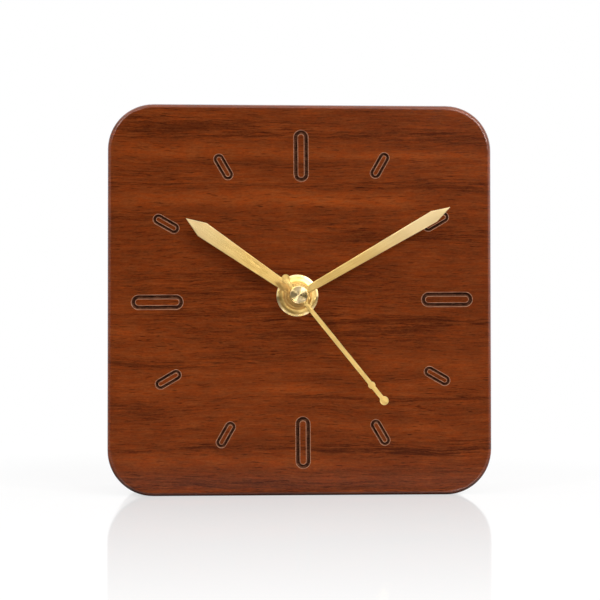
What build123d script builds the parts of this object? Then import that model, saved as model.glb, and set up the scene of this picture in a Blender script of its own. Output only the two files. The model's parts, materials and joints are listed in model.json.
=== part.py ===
from build123d import *
from math import cos, radians, sin, tan
import os

# A square wooden desk clock with carved hour markers, brass hands and a battery movement.
# Lengths are millimetres and angles are degrees. +Z is up, +X is to the reader's right and
# the dial faces -Y. The origin is the middle of the flat base.
# A plan is drawn as the reader sees it, and a bearing turns clockwise from twelve o'clock.
# Everything on the hands' axis is drawn about that axis first, and then put into the block.

# Wooden block
BLOCK_WIDTH = 118.0
BLOCK_HEIGHT = 120.0
BLOCK_DEPTH = 40.0
BLOCK_CORNER = 14.0
EDGE_ROUND = 1.4
FACE_WOOD = 6.0
POCKET_MARGIN = 9.0
POCKET_CORNER = 10.0
SHAFT_GAP = 0.2
AXIS_SHIFT_X = -1.0
AXIS_SHIFT_Z = 1.25

# Carved hour markers
RING_SHIFT_X = 0.8
RING_SHIFT_Z = -0.15
RING_TURN = -0.4
LONG_RING_RADIUS = 43.9
LONG_MARKER = 16.0
LONG_MARKER_WIDTH = 4.6
LONG_GROOVE = 1.4
SHORT_RING_RADIUS = 47.6
SHORT_MARKER = 8.85
SHORT_MARKER_WIDTH = 3.4
SHORT_GROOVE = 1.15
GROOVE_DEPTH = 0.9
GROOVE_SLOPE = 24.0
HOURS = 12
QUARTER_HOURS = 3
# How far each marker was carved off its place, to the right and up, from twelve o'clock round
MARKER_SLIPS = (
    (-0.35, 0.43), (0.12, 0.08), (-0.09, 0.12), (0.46, -0.08), (-0.15, 0.17), (-0.40, 0.43),
    (-0.40, 0.25), (-0.20, 0.25), (-0.21, -0.17), (-0.74, -0.35), (-0.57, -0.20), (-0.41, -0.21),
)

# Fits
RUN_GAP = 0.05
PRESS_GAP = 0.02
END_PLAY = 0.2
FACE_GAP = 0.1
OVERRUN = 1.0

# Dial nut, washer and threaded bush
WASHER_DIAMETER = 12.8
WASHER_THICKNESS = 0.6
WASHER_EDGE = 0.2
NUT_DIAMETER = 11.4
NUT_RIM = 0.7
NUT_HEIGHT = 2.7
NUT_LIP = 1.0
NUT_RING = 0.35
DOME_BULGE_SHARE = 0.56
BUSH_DIAMETER = 8.0
BUSH_FLANGE = 11.0
BUSH_FLANGE_THICKNESS = 0.7

# Hands, with the gap in front of the piece that each one turns over
HAND_THICKNESS = 0.5
HAND_BEVEL = 0.12
HOUR_HAND_GAP = 0.2
HOUR_HAND_BEARING = 304.4
HOUR_HAND_LENGTH = 41.3
HOUR_HAND_POINT = 6.0
HOUR_HAND_ROOT = 2.7
HOUR_HAND_WIDTH = 4.7
HOUR_HUB = 7.6
HOUR_COLLET = 6.8
HOUR_COLLET_DEPTH = 0.5
MINUTE_HAND_GAP = 0.6
MINUTE_HAND_BEARING = 59.9
MINUTE_HAND_LENGTH = 53.6
MINUTE_HAND_POINT = 5.8
MINUTE_HAND_ROOT = 2.1
MINUTE_HAND_WIDTH = 3.65
MINUTE_HUB = 6.4
MINUTE_COLLET = 4.8
MINUTE_COLLET_DEPTH = 0.6
COLLET_LIP = 0.3
SECOND_HAND_GAP = 0.5
SECOND_HAND_THICKNESS = 0.4
SECOND_HAND_BEARING = 141.0
SECOND_HAND_WIDTH = 1.3
SECOND_HAND_LENGTH = 41.1
SECOND_HAND_DISC = 2.65
SECOND_HAND_BEAD = 2.2
SECOND_HAND_BEAD_AT = 35.1
SECOND_HAND_TAIL = 6.3
SECOND_HAND_TAIL_DISC = 2.6
SECOND_HAND_HUB = 4.4
SECOND_COLLET = 2.2
SECOND_COLLET_DEPTH = 0.6
CAP_DIAMETER = 5.4
CAP_HEIGHT = 1.3
CAP_EDGE = 0.2
CAP_RECESS = 0.35

# Movement case
GASKET_INSET = 4.0
GASKET_THICKNESS = 1.0
CASE_CORNER = 3.0
CASE_WALL = 1.0
CASE_FRONT_WALL = 1.6
COVER_WALL = 1.0
COVER_SPACE = 2.6
COVER_LIP = 1.0
COVER_LIP_WALL = 0.8
PARTITION = 1.1
PILLAR = 3.4
PEG = 1.6
PEG_INSET = 3.0
SNAP_WIDTH = 5.0
SNAP_DEPTH = 4.0
SNAP_NIB = 0.6
SNAP_NIB_DEPTH = 1.0
SNAP_UP = 19.0
SNAP_DOWN = 2.0

# Plates and layers of the train, from the dial to the back
PLATE_THICKNESS = 0.8
PLATE_GAP = 0.2
WHEEL_THICKNESS = 0.9
LAYER_GAP = 0.4
POST = 2.5
POST_PEG = 1.4
POST_ROOM = 3.6
ROTOR_POST_ROOM = 6.6
THIRD_POST_BEARINGS = (211.0, 329.0)
CENTRE_POST_BEARING = 118.0
ROTOR_POST_BEARING = 52.0
BRIDGE_EDGE = 2.0
TRAIN_GAP = 1.2
BRIDGE_CORNER = 1.8

# Toothed wheels: teeth, modules and tooth shape
TRAIN_PINION_TEETH = 8
CENTRE_TEETH = 64
THIRD_TEETH = 60
SECONDS_TEETH = 40
FIFTH_TEETH = 48
CANNON_TEETH = 12
MOTION_TEETH = 36
MOTION_PINION_TEETH = 10
HOUR_TEETH = 40
TRAIN_MODULE = 0.3
FIFTH_MODULE = 0.25
CANNON_MODULE = 0.4
TIP_SHARE = 0.75
ROOT_SHARE = 1.2
WHEEL_TOOTH_SHARES = (0.52, 0.42, 0.24)
PINION_TOOTH_SHARES = (0.44, 0.40, 0.22)
WHEEL_RIM = 1.6
WHEEL_WEB = 1.5
WHEEL_HOLES = 5
HOLE_SPACING_SHARE = 0.82

# Where the arbors stand
THIRD_BEARING = 290.0
FIFTH_BEARING = 30.0
ROTOR_BEARING = 50.0
MOTION_BEARING = 100.0
SETTING_BEARING = 95.0

# Arbors and tubes
HOUR_TUBE = 5.1
MINUTE_TUBE = 3.2
MINUTE_COLLAR = 5.0
MINUTE_COLLAR_THICKNESS = 0.3
SPRING_THICKNESS = 0.15
SPRING_HUB = 4.4
SPRING_SPAN = 8.0
SPRING_ARM = 1.2
SPRING_ARMS = 3
SECONDS_ARBOR = 1.0
SECONDS_TAIL = 2.4
ARBOR = 1.0
PIVOT = 0.6
PIVOT_DEPTH = 0.9
MOTION_PIVOT = 0.8
BOSS = 2.6
BOSS_GAP = 0.4
SETTING_SHAFT = 2.0
SETTING_BOSS = 4.4
SETTING_BOSS_DEPTH = 1.2
KNOB_DIAMETER = 11.0
KNOB_THICKNESS = 4.0
KNOB_STANDOFF = 0.6
KNOB_FLUTES = 30
KNOB_FLUTE = 0.8
KNOB_EDGE = 0.4
KNOB_DISH = 0.5
KNOB_DISH_DIAMETER = 7.0

# Motor
MAGNET_DIAMETER = 5.0
MAGNET_THICKNESS = 1.3
STATOR_THICKNESS = 0.6
STATOR_HOLE = 6.0
STATOR_EYE = 10.4
STATOR_LIMB = 4.0
STATOR_SIDE = 7.5
STATOR_BOARD_GAP = 1.0
COIL_BELOW_WALL = 6.0
COIL_END_GAP = 1.0
COIL_FLANGE = 7.0
COIL_FLANGE_THICKNESS = 0.8
COIL_TUBE = 4.8
WINDING_DIAMETER = 6.4
CORE_WIDTH = 3.6
CORE_THICKNESS = 0.6
CORE_GAP = 0.1
SCREW_HEAD = 3.4
SCREW_HEAD_HEIGHT = 1.0
SCREW_SHANK = 1.6
SCREW_LENGTH = 5.0
SCREW_SLOT = 0.5

# Circuit board and its parts
BOARD_THICKNESS = 0.8
BOARD_GAP = 0.8
BOARD_WIDTH = 10.8
BOARD_SIDE_GAP = 0.7
BOARD_LOW_GAP = 1.3
BOARD_HIGH_GAP = 1.5
BOARD_POST_INSET = 2.8
BOARD_POST_UP = 5.0
BOARD_POST_DOWN = 3.5
CHIP_DIAMETER = 6.0
CHIP_HEIGHT = 1.2
CHIP_ROUND = 1.0
CHIP_UP = 15.0
CRYSTAL_DIAMETER = 2.0
CRYSTAL_LENGTH = 6.0
CRYSTAL_UP = 25.0

# Battery and its contacts
BATTERY_DIAMETER = 14.5
JACKET_THICKNESS = 0.2
BATTERY_LENGTH = 50.5
BATTERY_NUB = 5.5
BATTERY_NUB_LENGTH = 1.0
BATTERY_SHOULDER = 0.5
BATTERY_GAP = 0.3
CONTACT_THICKNESS = 0.35
CONTACT_WIDTH = 7.0
CONTACT_HEIGHT = 10.0
CONTACT_TAIL = 1.8
CONTACT_TAB = 3.0
CONTACT_TAB_LAP = 2.0
SPRING_LEAF_WIDTH = 5.0
SPRING_LEAF_ROOM = 2.6
SPRING_LEAF_SPAN = 10.8
SLOT_GAP = 0.4

# Heights above the dial, worked out from the nut forwards
HOUR_HAND_HEIGHT = WASHER_THICKNESS + NUT_HEIGHT + HOUR_HAND_GAP + HOUR_COLLET_DEPTH
HOUR_TUBE_HEIGHT = HOUR_HAND_HEIGHT + HAND_THICKNESS + COLLET_LIP
MINUTE_HAND_HEIGHT = HOUR_TUBE_HEIGHT + MINUTE_HAND_GAP + MINUTE_COLLET_DEPTH
MINUTE_TUBE_HEIGHT = MINUTE_HAND_HEIGHT + HAND_THICKNESS + COLLET_LIP
SECOND_HAND_HEIGHT = MINUTE_TUBE_HEIGHT + SECOND_HAND_GAP + SECOND_COLLET_DEPTH

# Depths, worked out from the dial backwards
DIAL_Y = -BLOCK_DEPTH / 2
BACK_Y = BLOCK_DEPTH / 2
POCKET_Y = DIAL_Y + FACE_WOOD
CASE_Y = POCKET_Y + GASKET_THICKNESS
FLOOR_Y = CASE_Y + CASE_FRONT_WALL
HOUR_WHEEL_Y = FLOOR_Y + END_PLAY
MOTION_WHEEL_Y = HOUR_WHEEL_Y + WHEEL_THICKNESS + LAYER_GAP
PLATE_Y = MOTION_WHEEL_Y + WHEEL_THICKNESS + LAYER_GAP
PLATE_BACK_Y = PLATE_Y + PLATE_THICKNESS
CENTRE_WHEEL_Y = PLATE_BACK_Y + LAYER_GAP
THIRD_WHEEL_Y = CENTRE_WHEEL_Y + WHEEL_THICKNESS + LAYER_GAP
BRIDGE_Y = THIRD_WHEEL_Y + WHEEL_THICKNESS + LAYER_GAP
BRIDGE_BACK_Y = BRIDGE_Y + PLATE_THICKNESS
SECONDS_WHEEL_Y = BRIDGE_BACK_Y + LAYER_GAP
FIFTH_WHEEL_Y = SECONDS_WHEEL_Y + WHEEL_THICKNESS + LAYER_GAP
MAGNET_Y = FIFTH_WHEEL_Y + WHEEL_THICKNESS + LAYER_GAP
MAGNET_BACK_Y = MAGNET_Y + MAGNET_THICKNESS
STATOR_Y = MAGNET_Y + (MAGNET_THICKNESS - STATOR_THICKNESS) / 2
COVER_Y = MAGNET_BACK_Y + COVER_SPACE
CASE_BACK_Y = COVER_Y + COVER_WALL
BOARD_Y = BRIDGE_BACK_Y + BOARD_GAP
BOARD_BACK_Y = BOARD_Y + BOARD_THICKNESS
CORE_Y = STATOR_Y - CORE_THICKNESS
COIL_Y = CORE_Y + CORE_THICKNESS / 2
BATTERY_Y = FLOOR_Y + BATTERY_GAP + BATTERY_DIAMETER / 2
AXIS = Pos(AXIS_SHIFT_X, 0, BLOCK_HEIGHT / 2 + AXIS_SHIFT_Z)


def slab(plan, front, back):
    """A plan carried straight back from one depth to another."""
    return extrude(Plane.XZ.offset(-back) * plan, amount=back - front)


def disc(diameter, front, back, place=(0, 0)):
    """A round bar along the hands' axis, or standing at a place beside it."""
    return slab(Pos(*place) * Circle(diameter / 2), front, back)


def block(low_x, high_x, low_z, high_z, front, back):
    """A square-cornered bar given by its sides."""
    plan = Rectangle(high_x - low_x, high_z - low_z)
    return slab(Pos((low_x + high_x) / 2, (low_z + high_z) / 2) * plan, front, back)


def turned(*edges):
    """A lathe-turned piece: a closed profile of radius and depth, spun about the hands' axis."""
    return revolve(make_face(Curve() + list(edges)), Axis.Y)


def away(height):
    """The depth of a point that stands a height proud of the dial."""
    return DIAL_Y - height


def beside(place, distance, bearing):
    """The place at a distance and clock bearing from another place."""
    angle = radians(bearing)
    return place[0] + distance * sin(angle), place[1] + distance * cos(angle)


def centre_distance(module, *teeth):
    """How far apart two toothed wheels stand."""
    return module * sum(teeth) / 2


MAIN = (0, 0)
CENTRE_RADIUS = TRAIN_MODULE * CENTRE_TEETH / 2
THIRD_SPACING = centre_distance(TRAIN_MODULE, CENTRE_TEETH, TRAIN_PINION_TEETH)
THIRD_MODULE = 2 * THIRD_SPACING / (THIRD_TEETH + TRAIN_PINION_TEETH)
THIRD_RADIUS = THIRD_MODULE * THIRD_TEETH / 2
FIFTH_SPACING = centre_distance(TRAIN_MODULE, SECONDS_TEETH, TRAIN_PINION_TEETH)
ROTOR_SPACING = centre_distance(FIFTH_MODULE, FIFTH_TEETH, TRAIN_PINION_TEETH)
MOTION_SPACING = centre_distance(CANNON_MODULE, MOTION_TEETH, CANNON_TEETH)
MOTION_RADIUS = CANNON_MODULE * MOTION_TEETH / 2
HOUR_MODULE = 2 * MOTION_SPACING / (HOUR_TEETH + MOTION_PINION_TEETH)
THIRD = beside(MAIN, THIRD_SPACING, THIRD_BEARING)
FIFTH = beside(MAIN, FIFTH_SPACING, FIFTH_BEARING)
ROTOR = beside(FIFTH, ROTOR_SPACING, ROTOR_BEARING)
MOTION = beside(MAIN, MOTION_SPACING, MOTION_BEARING)
SETTING = beside(MOTION, MOTION_SPACING, SETTING_BEARING)

# The square case about the hands' axis: as large as the battery or the train needs
BAY_WIDTH = BATTERY_LENGTH + SPRING_LEAF_ROOM + 2 * (CONTACT_THICKNESS + FACE_GAP)
BAY_HEIGHT = BATTERY_DIAMETER + 2 * BATTERY_GAP
TRAIN_DOWN = max(CENTRE_RADIUS, MOTION_RADIUS - MOTION[1]) + TRAIN_GAP
BOARD_REACH = THIRD_RADIUS - THIRD[0] + TRAIN_GAP + POST / 2 + BOARD_POST_INSET + BOARD_SIDE_GAP
INSIDE_HALF = max(BAY_WIDTH / 2, TRAIN_DOWN + PARTITION + BAY_HEIGHT, BOARD_REACH)
CASE_HALF = INSIDE_HALF + CASE_WALL
CASE_WIDTH = 2 * CASE_HALF
POCKET_WIDTH = CASE_WIDTH + 2 * POCKET_MARGIN
GASKET_WIDTH = CASE_WIDTH - 2 * GASKET_INSET
SHAFT_HOLE = BUSH_DIAMETER + 2 * SHAFT_GAP

# Battery, partition and plate, from the case's inner walls
BATTERY_Z = -INSIDE_HALF + BATTERY_GAP + BATTERY_DIAMETER / 2
BATTERY_PLUS_X = INSIDE_HALF - CONTACT_THICKNESS - FACE_GAP
BATTERY_MINUS_X = BATTERY_PLUS_X - BATTERY_LENGTH
PARTITION_Z = BATTERY_Z + BATTERY_DIAMETER / 2 + BATTERY_GAP
PARTITION_TOP_Z = PARTITION_Z + PARTITION
PLATE_LOW_Z = PARTITION_TOP_Z + PLATE_GAP
PLATE_HIGH_Z = INSIDE_HALF - PLATE_GAP

# Circuit board, beside the left wall
BOARD_LEFT = -INSIDE_HALF + BOARD_SIDE_GAP
BOARD_RIGHT = BOARD_LEFT + BOARD_WIDTH
BOARD_MIDDLE = (BOARD_LEFT + BOARD_RIGHT) / 2
BOARD_BOTTOM = PARTITION_TOP_Z + BOARD_LOW_GAP
BOARD_TOP = INSIDE_HALF - BOARD_HIGH_GAP

# Stator and coil, between the board and the rotor's right side
STATOR_LEFT = BOARD_RIGHT + STATOR_BOARD_GAP + STATOR_LIMB / 2
STATOR_RIGHT = ROTOR[0] + STATOR_SIDE
COIL_CENTRE_Z = INSIDE_HALF - COIL_BELOW_WALL
BOBBIN_INSET = STATOR_LIMB / 2 + COIL_END_GAP
BOBBIN_X = (STATOR_LEFT + BOBBIN_INSET, STATOR_RIGHT - BOBBIN_INSET)

# Pillars, posts and snaps
PILLARS = [
    (side * (INSIDE_HALF - PEG_INSET), height)
    for side in (-1, 1)
    for height in (PLATE_LOW_Z + PEG_INSET, PLATE_HIGH_Z - PEG_INSET)
]
BRIDGE_POSTS = [beside(THIRD, THIRD_RADIUS + POST_ROOM, bearing) for bearing in THIRD_POST_BEARINGS]
BRIDGE_POSTS += [
    beside(MAIN, CENTRE_RADIUS + POST_ROOM, CENTRE_POST_BEARING),
    beside(ROTOR, ROTOR_POST_ROOM, ROTOR_POST_BEARING),
]
BOARD_POSTS = [
    (BOARD_LEFT + BOARD_POST_INSET, height)
    for height in (BOARD_BOTTOM + BOARD_POST_UP, BOARD_TOP - BOARD_POST_DOWN)
]
CORE_POSTS = [(STATOR_LEFT, COIL_CENTRE_Z), (STATOR_RIGHT, COIL_CENTRE_Z)]
SNAPS = [(side, height) for side in (-1, 1) for height in (SNAP_DOWN, SNAP_UP)]


def bars(places, diameter, front, back):
    """One round bar at each place, as a single shape to add or cut."""
    return Part() + [disc(diameter, front, back, place) for place in places]


def meshed(bearing, phase, teeth, other_teeth):
    """The bearing of a tooth on the second wheel, so that a gap faces the first wheel's tooth."""
    return bearing + 180 + 180 / other_teeth - (phase - bearing) * teeth / other_teeth


def toothed_plan(teeth, module, shares, phase):
    """The outline of a toothed wheel, with straight-sided teeth and one of them at the phase."""
    pitch_radius = teeth * module / 2
    root_radius = pitch_radius - ROOT_SHARE * module
    tip_radius = pitch_radius + TIP_SHARE * module
    radii = (root_radius, pitch_radius, tip_radius)
    flank = list(zip(radii, shares))
    tooth = [(radius, -share / 2) for radius, share in flank]
    tooth += [(radius, share / 2) for radius, share in reversed(flank)]
    points = [
        beside(MAIN, radius, phase + (index + turn) * 360 / teeth)
        for index in range(teeth)
        for radius, turn in tooth
    ]
    return make_face(Polyline(*points, close=True))


def pinion(teeth, module, depth, phase, place):
    """A small toothed wheel, as long as the layer of the wheel that it drives."""
    plan = toothed_plan(teeth, module, PINION_TOOTH_SHARES, phase)
    return slab(Pos(*place) * plan, depth, depth + WHEEL_THICKNESS)


def wheel(teeth, module, depth, phase, place):
    """A large toothed wheel, lightened by a ring of round holes."""
    plan = toothed_plan(teeth, module, WHEEL_TOOTH_SHARES, phase)
    solid = slab(Pos(*place) * plan, depth, depth + WHEEL_THICKNESS)
    outer = teeth * module / 2 - WHEEL_RIM
    inner = WHEEL_WEB + ARBOR / 2
    ring = (outer + inner) / 2
    room = min(outer - inner, 2 * ring * sin(radians(180 / WHEEL_HOLES)) * HOLE_SPACING_SHARE)
    turns = [index * 360 / WHEEL_HOLES for index in range(WHEEL_HOLES)]
    holes = [beside(place, ring, turn) for turn in turns]
    return solid - bars(holes, room, depth - OVERRUN, depth + WHEEL_THICKNESS + OVERRUN)


# Phases of the teeth, each from the wheel that it meshes with
CANNON_PHASE = 0.0
MOTION_PHASE = meshed(MOTION_BEARING, CANNON_PHASE, CANNON_TEETH, MOTION_TEETH)
MOTION_PINION_PHASE = 0.0
HOUR_PHASE = meshed(MOTION_BEARING + 180, MOTION_PINION_PHASE, MOTION_PINION_TEETH, HOUR_TEETH)
SETTING_PHASE = meshed(SETTING_BEARING, MOTION_PHASE, MOTION_TEETH, CANNON_TEETH)
CENTRE_PHASE = 0.0
THIRD_PINION_PHASE = meshed(THIRD_BEARING, CENTRE_PHASE, CENTRE_TEETH, TRAIN_PINION_TEETH)
THIRD_PHASE = 0.0
SECONDS_PINION_PHASE = meshed(THIRD_BEARING - 180, THIRD_PHASE, THIRD_TEETH, TRAIN_PINION_TEETH)
SECONDS_PHASE = 0.0
FIFTH_PINION_PHASE = meshed(FIFTH_BEARING, SECONDS_PHASE, SECONDS_TEETH, TRAIN_PINION_TEETH)
FIFTH_PHASE = 0.0
ROTOR_PHASE = meshed(ROTOR_BEARING, FIFTH_PHASE, FIFTH_TEETH, TRAIN_PINION_TEETH)


def marker_groove(length, width, groove, ring_radius, hour):
    """A racetrack groove with sloping walls round an island of wood, centred on its ring."""
    narrowing = 2 * GROOVE_DEPTH * tan(radians(GROOVE_SLOPE))
    front = Plane.XZ.offset(-DIAL_Y)
    floor = Plane.XZ.offset(-DIAL_Y - GROOVE_DEPTH)
    trench = loft([
        front * SlotOverall(length, width, rotation=90),
        floor * SlotOverall(length - narrowing, width - narrowing, rotation=90),
    ])
    island = loft([
        front * SlotOverall(length - 2 * groove, width - 2 * groove, rotation=90),
        floor * SlotOverall(length - 2 * groove + narrowing, width - 2 * groove + narrowing, rotation=90),
    ])
    turn = hour * 360 / HOURS + RING_TURN
    right, up = MARKER_SLIPS[hour]
    ring_middle = Pos(RING_SHIFT_X + right, 0, BLOCK_HEIGHT / 2 + RING_SHIFT_Z + up)
    return ring_middle * Rot(0, turn, 0) * Pos(0, 0, ring_radius) * (trench - island)


def wooden_block():
    """The solid wooden body, with its rear pocket, shaft hole and twelve carved markers."""
    plan = Pos(0, BLOCK_HEIGHT / 2) * RectangleRounded(BLOCK_WIDTH, BLOCK_HEIGHT, BLOCK_CORNER)
    body = slab(plan, DIAL_Y, BACK_Y)
    rims = body.faces().sort_by(Axis.Y)
    body = fillet(rims[0].edges() + rims[-1].edges(), EDGE_ROUND)
    pocket = slab(RectangleRounded(POCKET_WIDTH, POCKET_WIDTH, POCKET_CORNER), POCKET_Y, BACK_Y + OVERRUN)
    body -= AXIS * pocket
    body -= AXIS * disc(SHAFT_HOLE, DIAL_Y - OVERRUN, POCKET_Y + OVERRUN)
    for hour in range(HOURS):
        if hour % QUARTER_HOURS:
            body -= marker_groove(
                SHORT_MARKER, SHORT_MARKER_WIDTH, SHORT_GROOVE, SHORT_RING_RADIUS, hour
            )
        else:
            body -= marker_groove(LONG_MARKER, LONG_MARKER_WIDTH, LONG_GROOVE, LONG_RING_RADIUS, hour)
    return body


def brass_washer():
    """The flat brass washer that shows as a rim round the nut."""
    solid = disc(WASHER_DIAMETER, away(WASHER_THICKNESS), DIAL_Y)
    front = solid.faces().sort_by(Axis.Y)[0]
    bore = disc(BUSH_DIAMETER + 2 * FACE_GAP, away(WASHER_THICKNESS) - OVERRUN, DIAL_Y)
    return chamfer(front.edges(), WASHER_EDGE) - bore


def dial_nut():
    """The round nut that clamps the movement, closed by a polished dome round the hour tube."""
    seat = away(WASHER_THICKNESS)
    top = seat - NUT_HEIGHT
    rim = seat - NUT_RIM
    outer = NUT_DIAMETER / 2
    thread = BUSH_DIAMETER / 2 + RUN_GAP
    hole = HOUR_TUBE / 2 + 2 * END_PLAY
    dome_foot = outer - NUT_RING
    bulge = ((dome_foot + hole) / 2, rim + (top - rim) * DOME_BULGE_SHARE)
    crown = (bulge[0] + (dome_foot - hole) * (DOME_BULGE_SHARE - 1 / 2), bulge[1])
    return turned(
        Line((thread, seat), (outer, seat)),
        Line((outer, seat), (outer, rim)),
        Line((outer, rim), (dome_foot, rim)),
        ThreePointArc((dome_foot, rim), crown, (hole, top)),
        Line((hole, top), (hole, top + NUT_LIP)),
        Line((hole, top + NUT_LIP), (thread, top + NUT_LIP)),
        Line((thread, top + NUT_LIP), (thread, seat)),
    )


def threaded_bush():
    """The brass bush of the movement, which passes the wood and carries the hour tube."""
    front = away(WASHER_THICKNESS + NUT_HEIGHT - NUT_LIP) + FACE_GAP
    solid = disc(BUSH_DIAMETER, front, FLOOR_Y)
    solid += disc(BUSH_FLANGE, FLOOR_Y - BUSH_FLANGE_THICKNESS, FLOOR_Y)
    return solid - disc(HOUR_TUBE + 2 * RUN_GAP, front - OVERRUN, FLOOR_Y + OVERRUN)


def rubber_gasket():
    """The thin rubber sheet between the movement and the floor of the pocket."""
    sheet = slab(RectangleRounded(GASKET_WIDTH, GASKET_WIDTH, CASE_CORNER), POCKET_Y, CASE_Y)
    return sheet - disc(SHAFT_HOLE, POCKET_Y - OVERRUN, CASE_Y + OVERRUN)


def pointed_plan(root, width, length, point, hub):
    """The plan of a baton hand that widens from its hub to a shoulder and ends in a point."""
    shoulder = length - point
    blade = make_face(Polyline(
        (-root / 2, 0), (-width / 2, shoulder), (0, length), (width / 2, shoulder), (root / 2, 0),
        close=True,
    ))
    return blade + Circle(hub / 2)


def bevelled(solid, size):
    """The same solid with the edges of its dial side bevelled."""
    return chamfer(solid.faces().sort_by(Axis.Y)[0].edges(), size)


def pressed_hand(plan, height, collet, depth, tube, bearing):
    """A stamped hand on a turned collet that is pressed on to its tube."""
    front, back = away(height + HAND_THICKNESS), away(height)
    solid = bevelled(slab(plan, front, back), HAND_BEVEL)
    solid += disc(collet, back, back + depth)
    solid += disc(tube + 2 * COLLET_LIP, front - COLLET_LIP, back)
    bore = disc(tube + 2 * PRESS_GAP, front - OVERRUN, back + depth + OVERRUN)
    return Rot(0, bearing, 0) * (solid - bore)


def hour_hand():
    """The short brass hand."""
    plan = pointed_plan(HOUR_HAND_ROOT, HOUR_HAND_WIDTH, HOUR_HAND_LENGTH, HOUR_HAND_POINT, HOUR_HUB)
    return pressed_hand(
        plan, HOUR_HAND_HEIGHT, HOUR_COLLET, HOUR_COLLET_DEPTH, HOUR_TUBE, HOUR_HAND_BEARING
    )


def minute_hand():
    """The long brass hand."""
    plan = pointed_plan(
        MINUTE_HAND_ROOT, MINUTE_HAND_WIDTH, MINUTE_HAND_LENGTH, MINUTE_HAND_POINT, MINUTE_HUB
    )
    return pressed_hand(
        plan, MINUTE_HAND_HEIGHT, MINUTE_COLLET, MINUTE_COLLET_DEPTH, MINUTE_TUBE, MINUTE_HAND_BEARING
    )


def second_hand():
    """The thin hand, with a bead, an end disc and a short round tail."""
    reach = SECOND_HAND_LENGTH + SECOND_HAND_TAIL
    stem = Pos(0, (SECOND_HAND_LENGTH - SECOND_HAND_TAIL) / 2) * Rectangle(SECOND_HAND_WIDTH, reach)
    plan = stem + Circle(SECOND_HAND_HUB / 2)
    plan += Pos(0, SECOND_HAND_LENGTH) * Circle(SECOND_HAND_DISC / 2)
    plan += Pos(0, SECOND_HAND_BEAD_AT) * Circle(SECOND_HAND_BEAD / 2)
    plan += Pos(0, -SECOND_HAND_TAIL) * Circle(SECOND_HAND_TAIL_DISC / 2)
    front = away(SECOND_HAND_HEIGHT + SECOND_HAND_THICKNESS)
    back = away(SECOND_HAND_HEIGHT)
    solid = slab(plan, front, back) + disc(SECOND_COLLET, back, back + SECOND_COLLET_DEPTH)
    bore = disc(SECONDS_ARBOR + 2 * PRESS_GAP, front - OVERRUN, back + SECOND_COLLET_DEPTH + OVERRUN)
    return Rot(0, SECOND_HAND_BEARING, 0) * (solid - bore)


def second_hand_cap():
    """The turned brass cap over the end of the seconds arbor."""
    foot = away(SECOND_HAND_HEIGHT + SECOND_HAND_THICKNESS)
    solid = disc(CAP_DIAMETER, foot - CAP_HEIGHT, foot)
    solid = chamfer(solid.faces().sort_by(Axis.Y)[0].edges(), CAP_EDGE)
    return solid - disc(SECONDS_ARBOR + 2 * PRESS_GAP, foot - CAP_RECESS, foot + OVERRUN)


def front_shell():
    """The deep half of the plastic case, with the battery bay below its partition."""
    plan = RectangleRounded(CASE_WIDTH, CASE_WIDTH, CASE_CORNER)
    inside = RectangleRounded(2 * INSIDE_HALF, 2 * INSIDE_HALF, CASE_CORNER - CASE_WALL)
    shell = slab(plan, CASE_Y, CASE_BACK_Y) - slab(inside, FLOOR_Y, CASE_BACK_Y + OVERRUN)
    shell += block(-INSIDE_HALF, INSIDE_HALF, PARTITION_Z, PARTITION_TOP_Z, FLOOR_Y, COVER_Y)
    past = CASE_HALF + OVERRUN
    shell -= block(-past, past, PARTITION_Z, past, COVER_Y, CASE_BACK_Y + OVERRUN)
    shell += bars(PILLARS, PILLAR, FLOOR_Y, PLATE_Y) + bars(PILLARS, PEG, PLATE_Y, PLATE_BACK_Y)
    shell -= disc(BUSH_DIAMETER + 2 * PRESS_GAP, CASE_Y - OVERRUN, FLOOR_Y + OVERRUN)
    flange_seat = BUSH_FLANGE + 2 * PRESS_GAP
    shell -= disc(flange_seat, FLOOR_Y - BUSH_FLANGE_THICKNESS, FLOOR_Y + OVERRUN)
    pivots = bars([MOTION, SETTING], MOTION_PIVOT + 2 * RUN_GAP, FLOOR_Y - PIVOT_DEPTH - FACE_GAP, FLOOR_Y)
    shell -= pivots
    for side, height in SNAPS:
        edge = side * INSIDE_HALF
        ends = sorted((edge - side * OVERRUN, edge + side * (CASE_WALL + OVERRUN)))
        half = SNAP_WIDTH / 2 + FACE_GAP
        window_front = COVER_Y - SNAP_DEPTH - FACE_GAP
        window_back = window_front + SNAP_NIB_DEPTH + 2 * FACE_GAP
        shell -= block(*ends, height - half, height + half, window_front, window_back)
    tail_front = BOARD_BACK_Y - CONTACT_TAIL - SLOT_GAP
    tail_back = BOARD_BACK_Y + CONTACT_THICKNESS + SLOT_GAP
    for side in (-1, 1):
        ends = sorted((side * INSIDE_HALF, side * (INSIDE_HALF - CONTACT_THICKNESS - SLOT_GAP)))
        shell -= block(*ends, PARTITION_Z - OVERRUN, PARTITION_TOP_Z + OVERRUN, tail_front, tail_back)
    return shell


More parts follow.
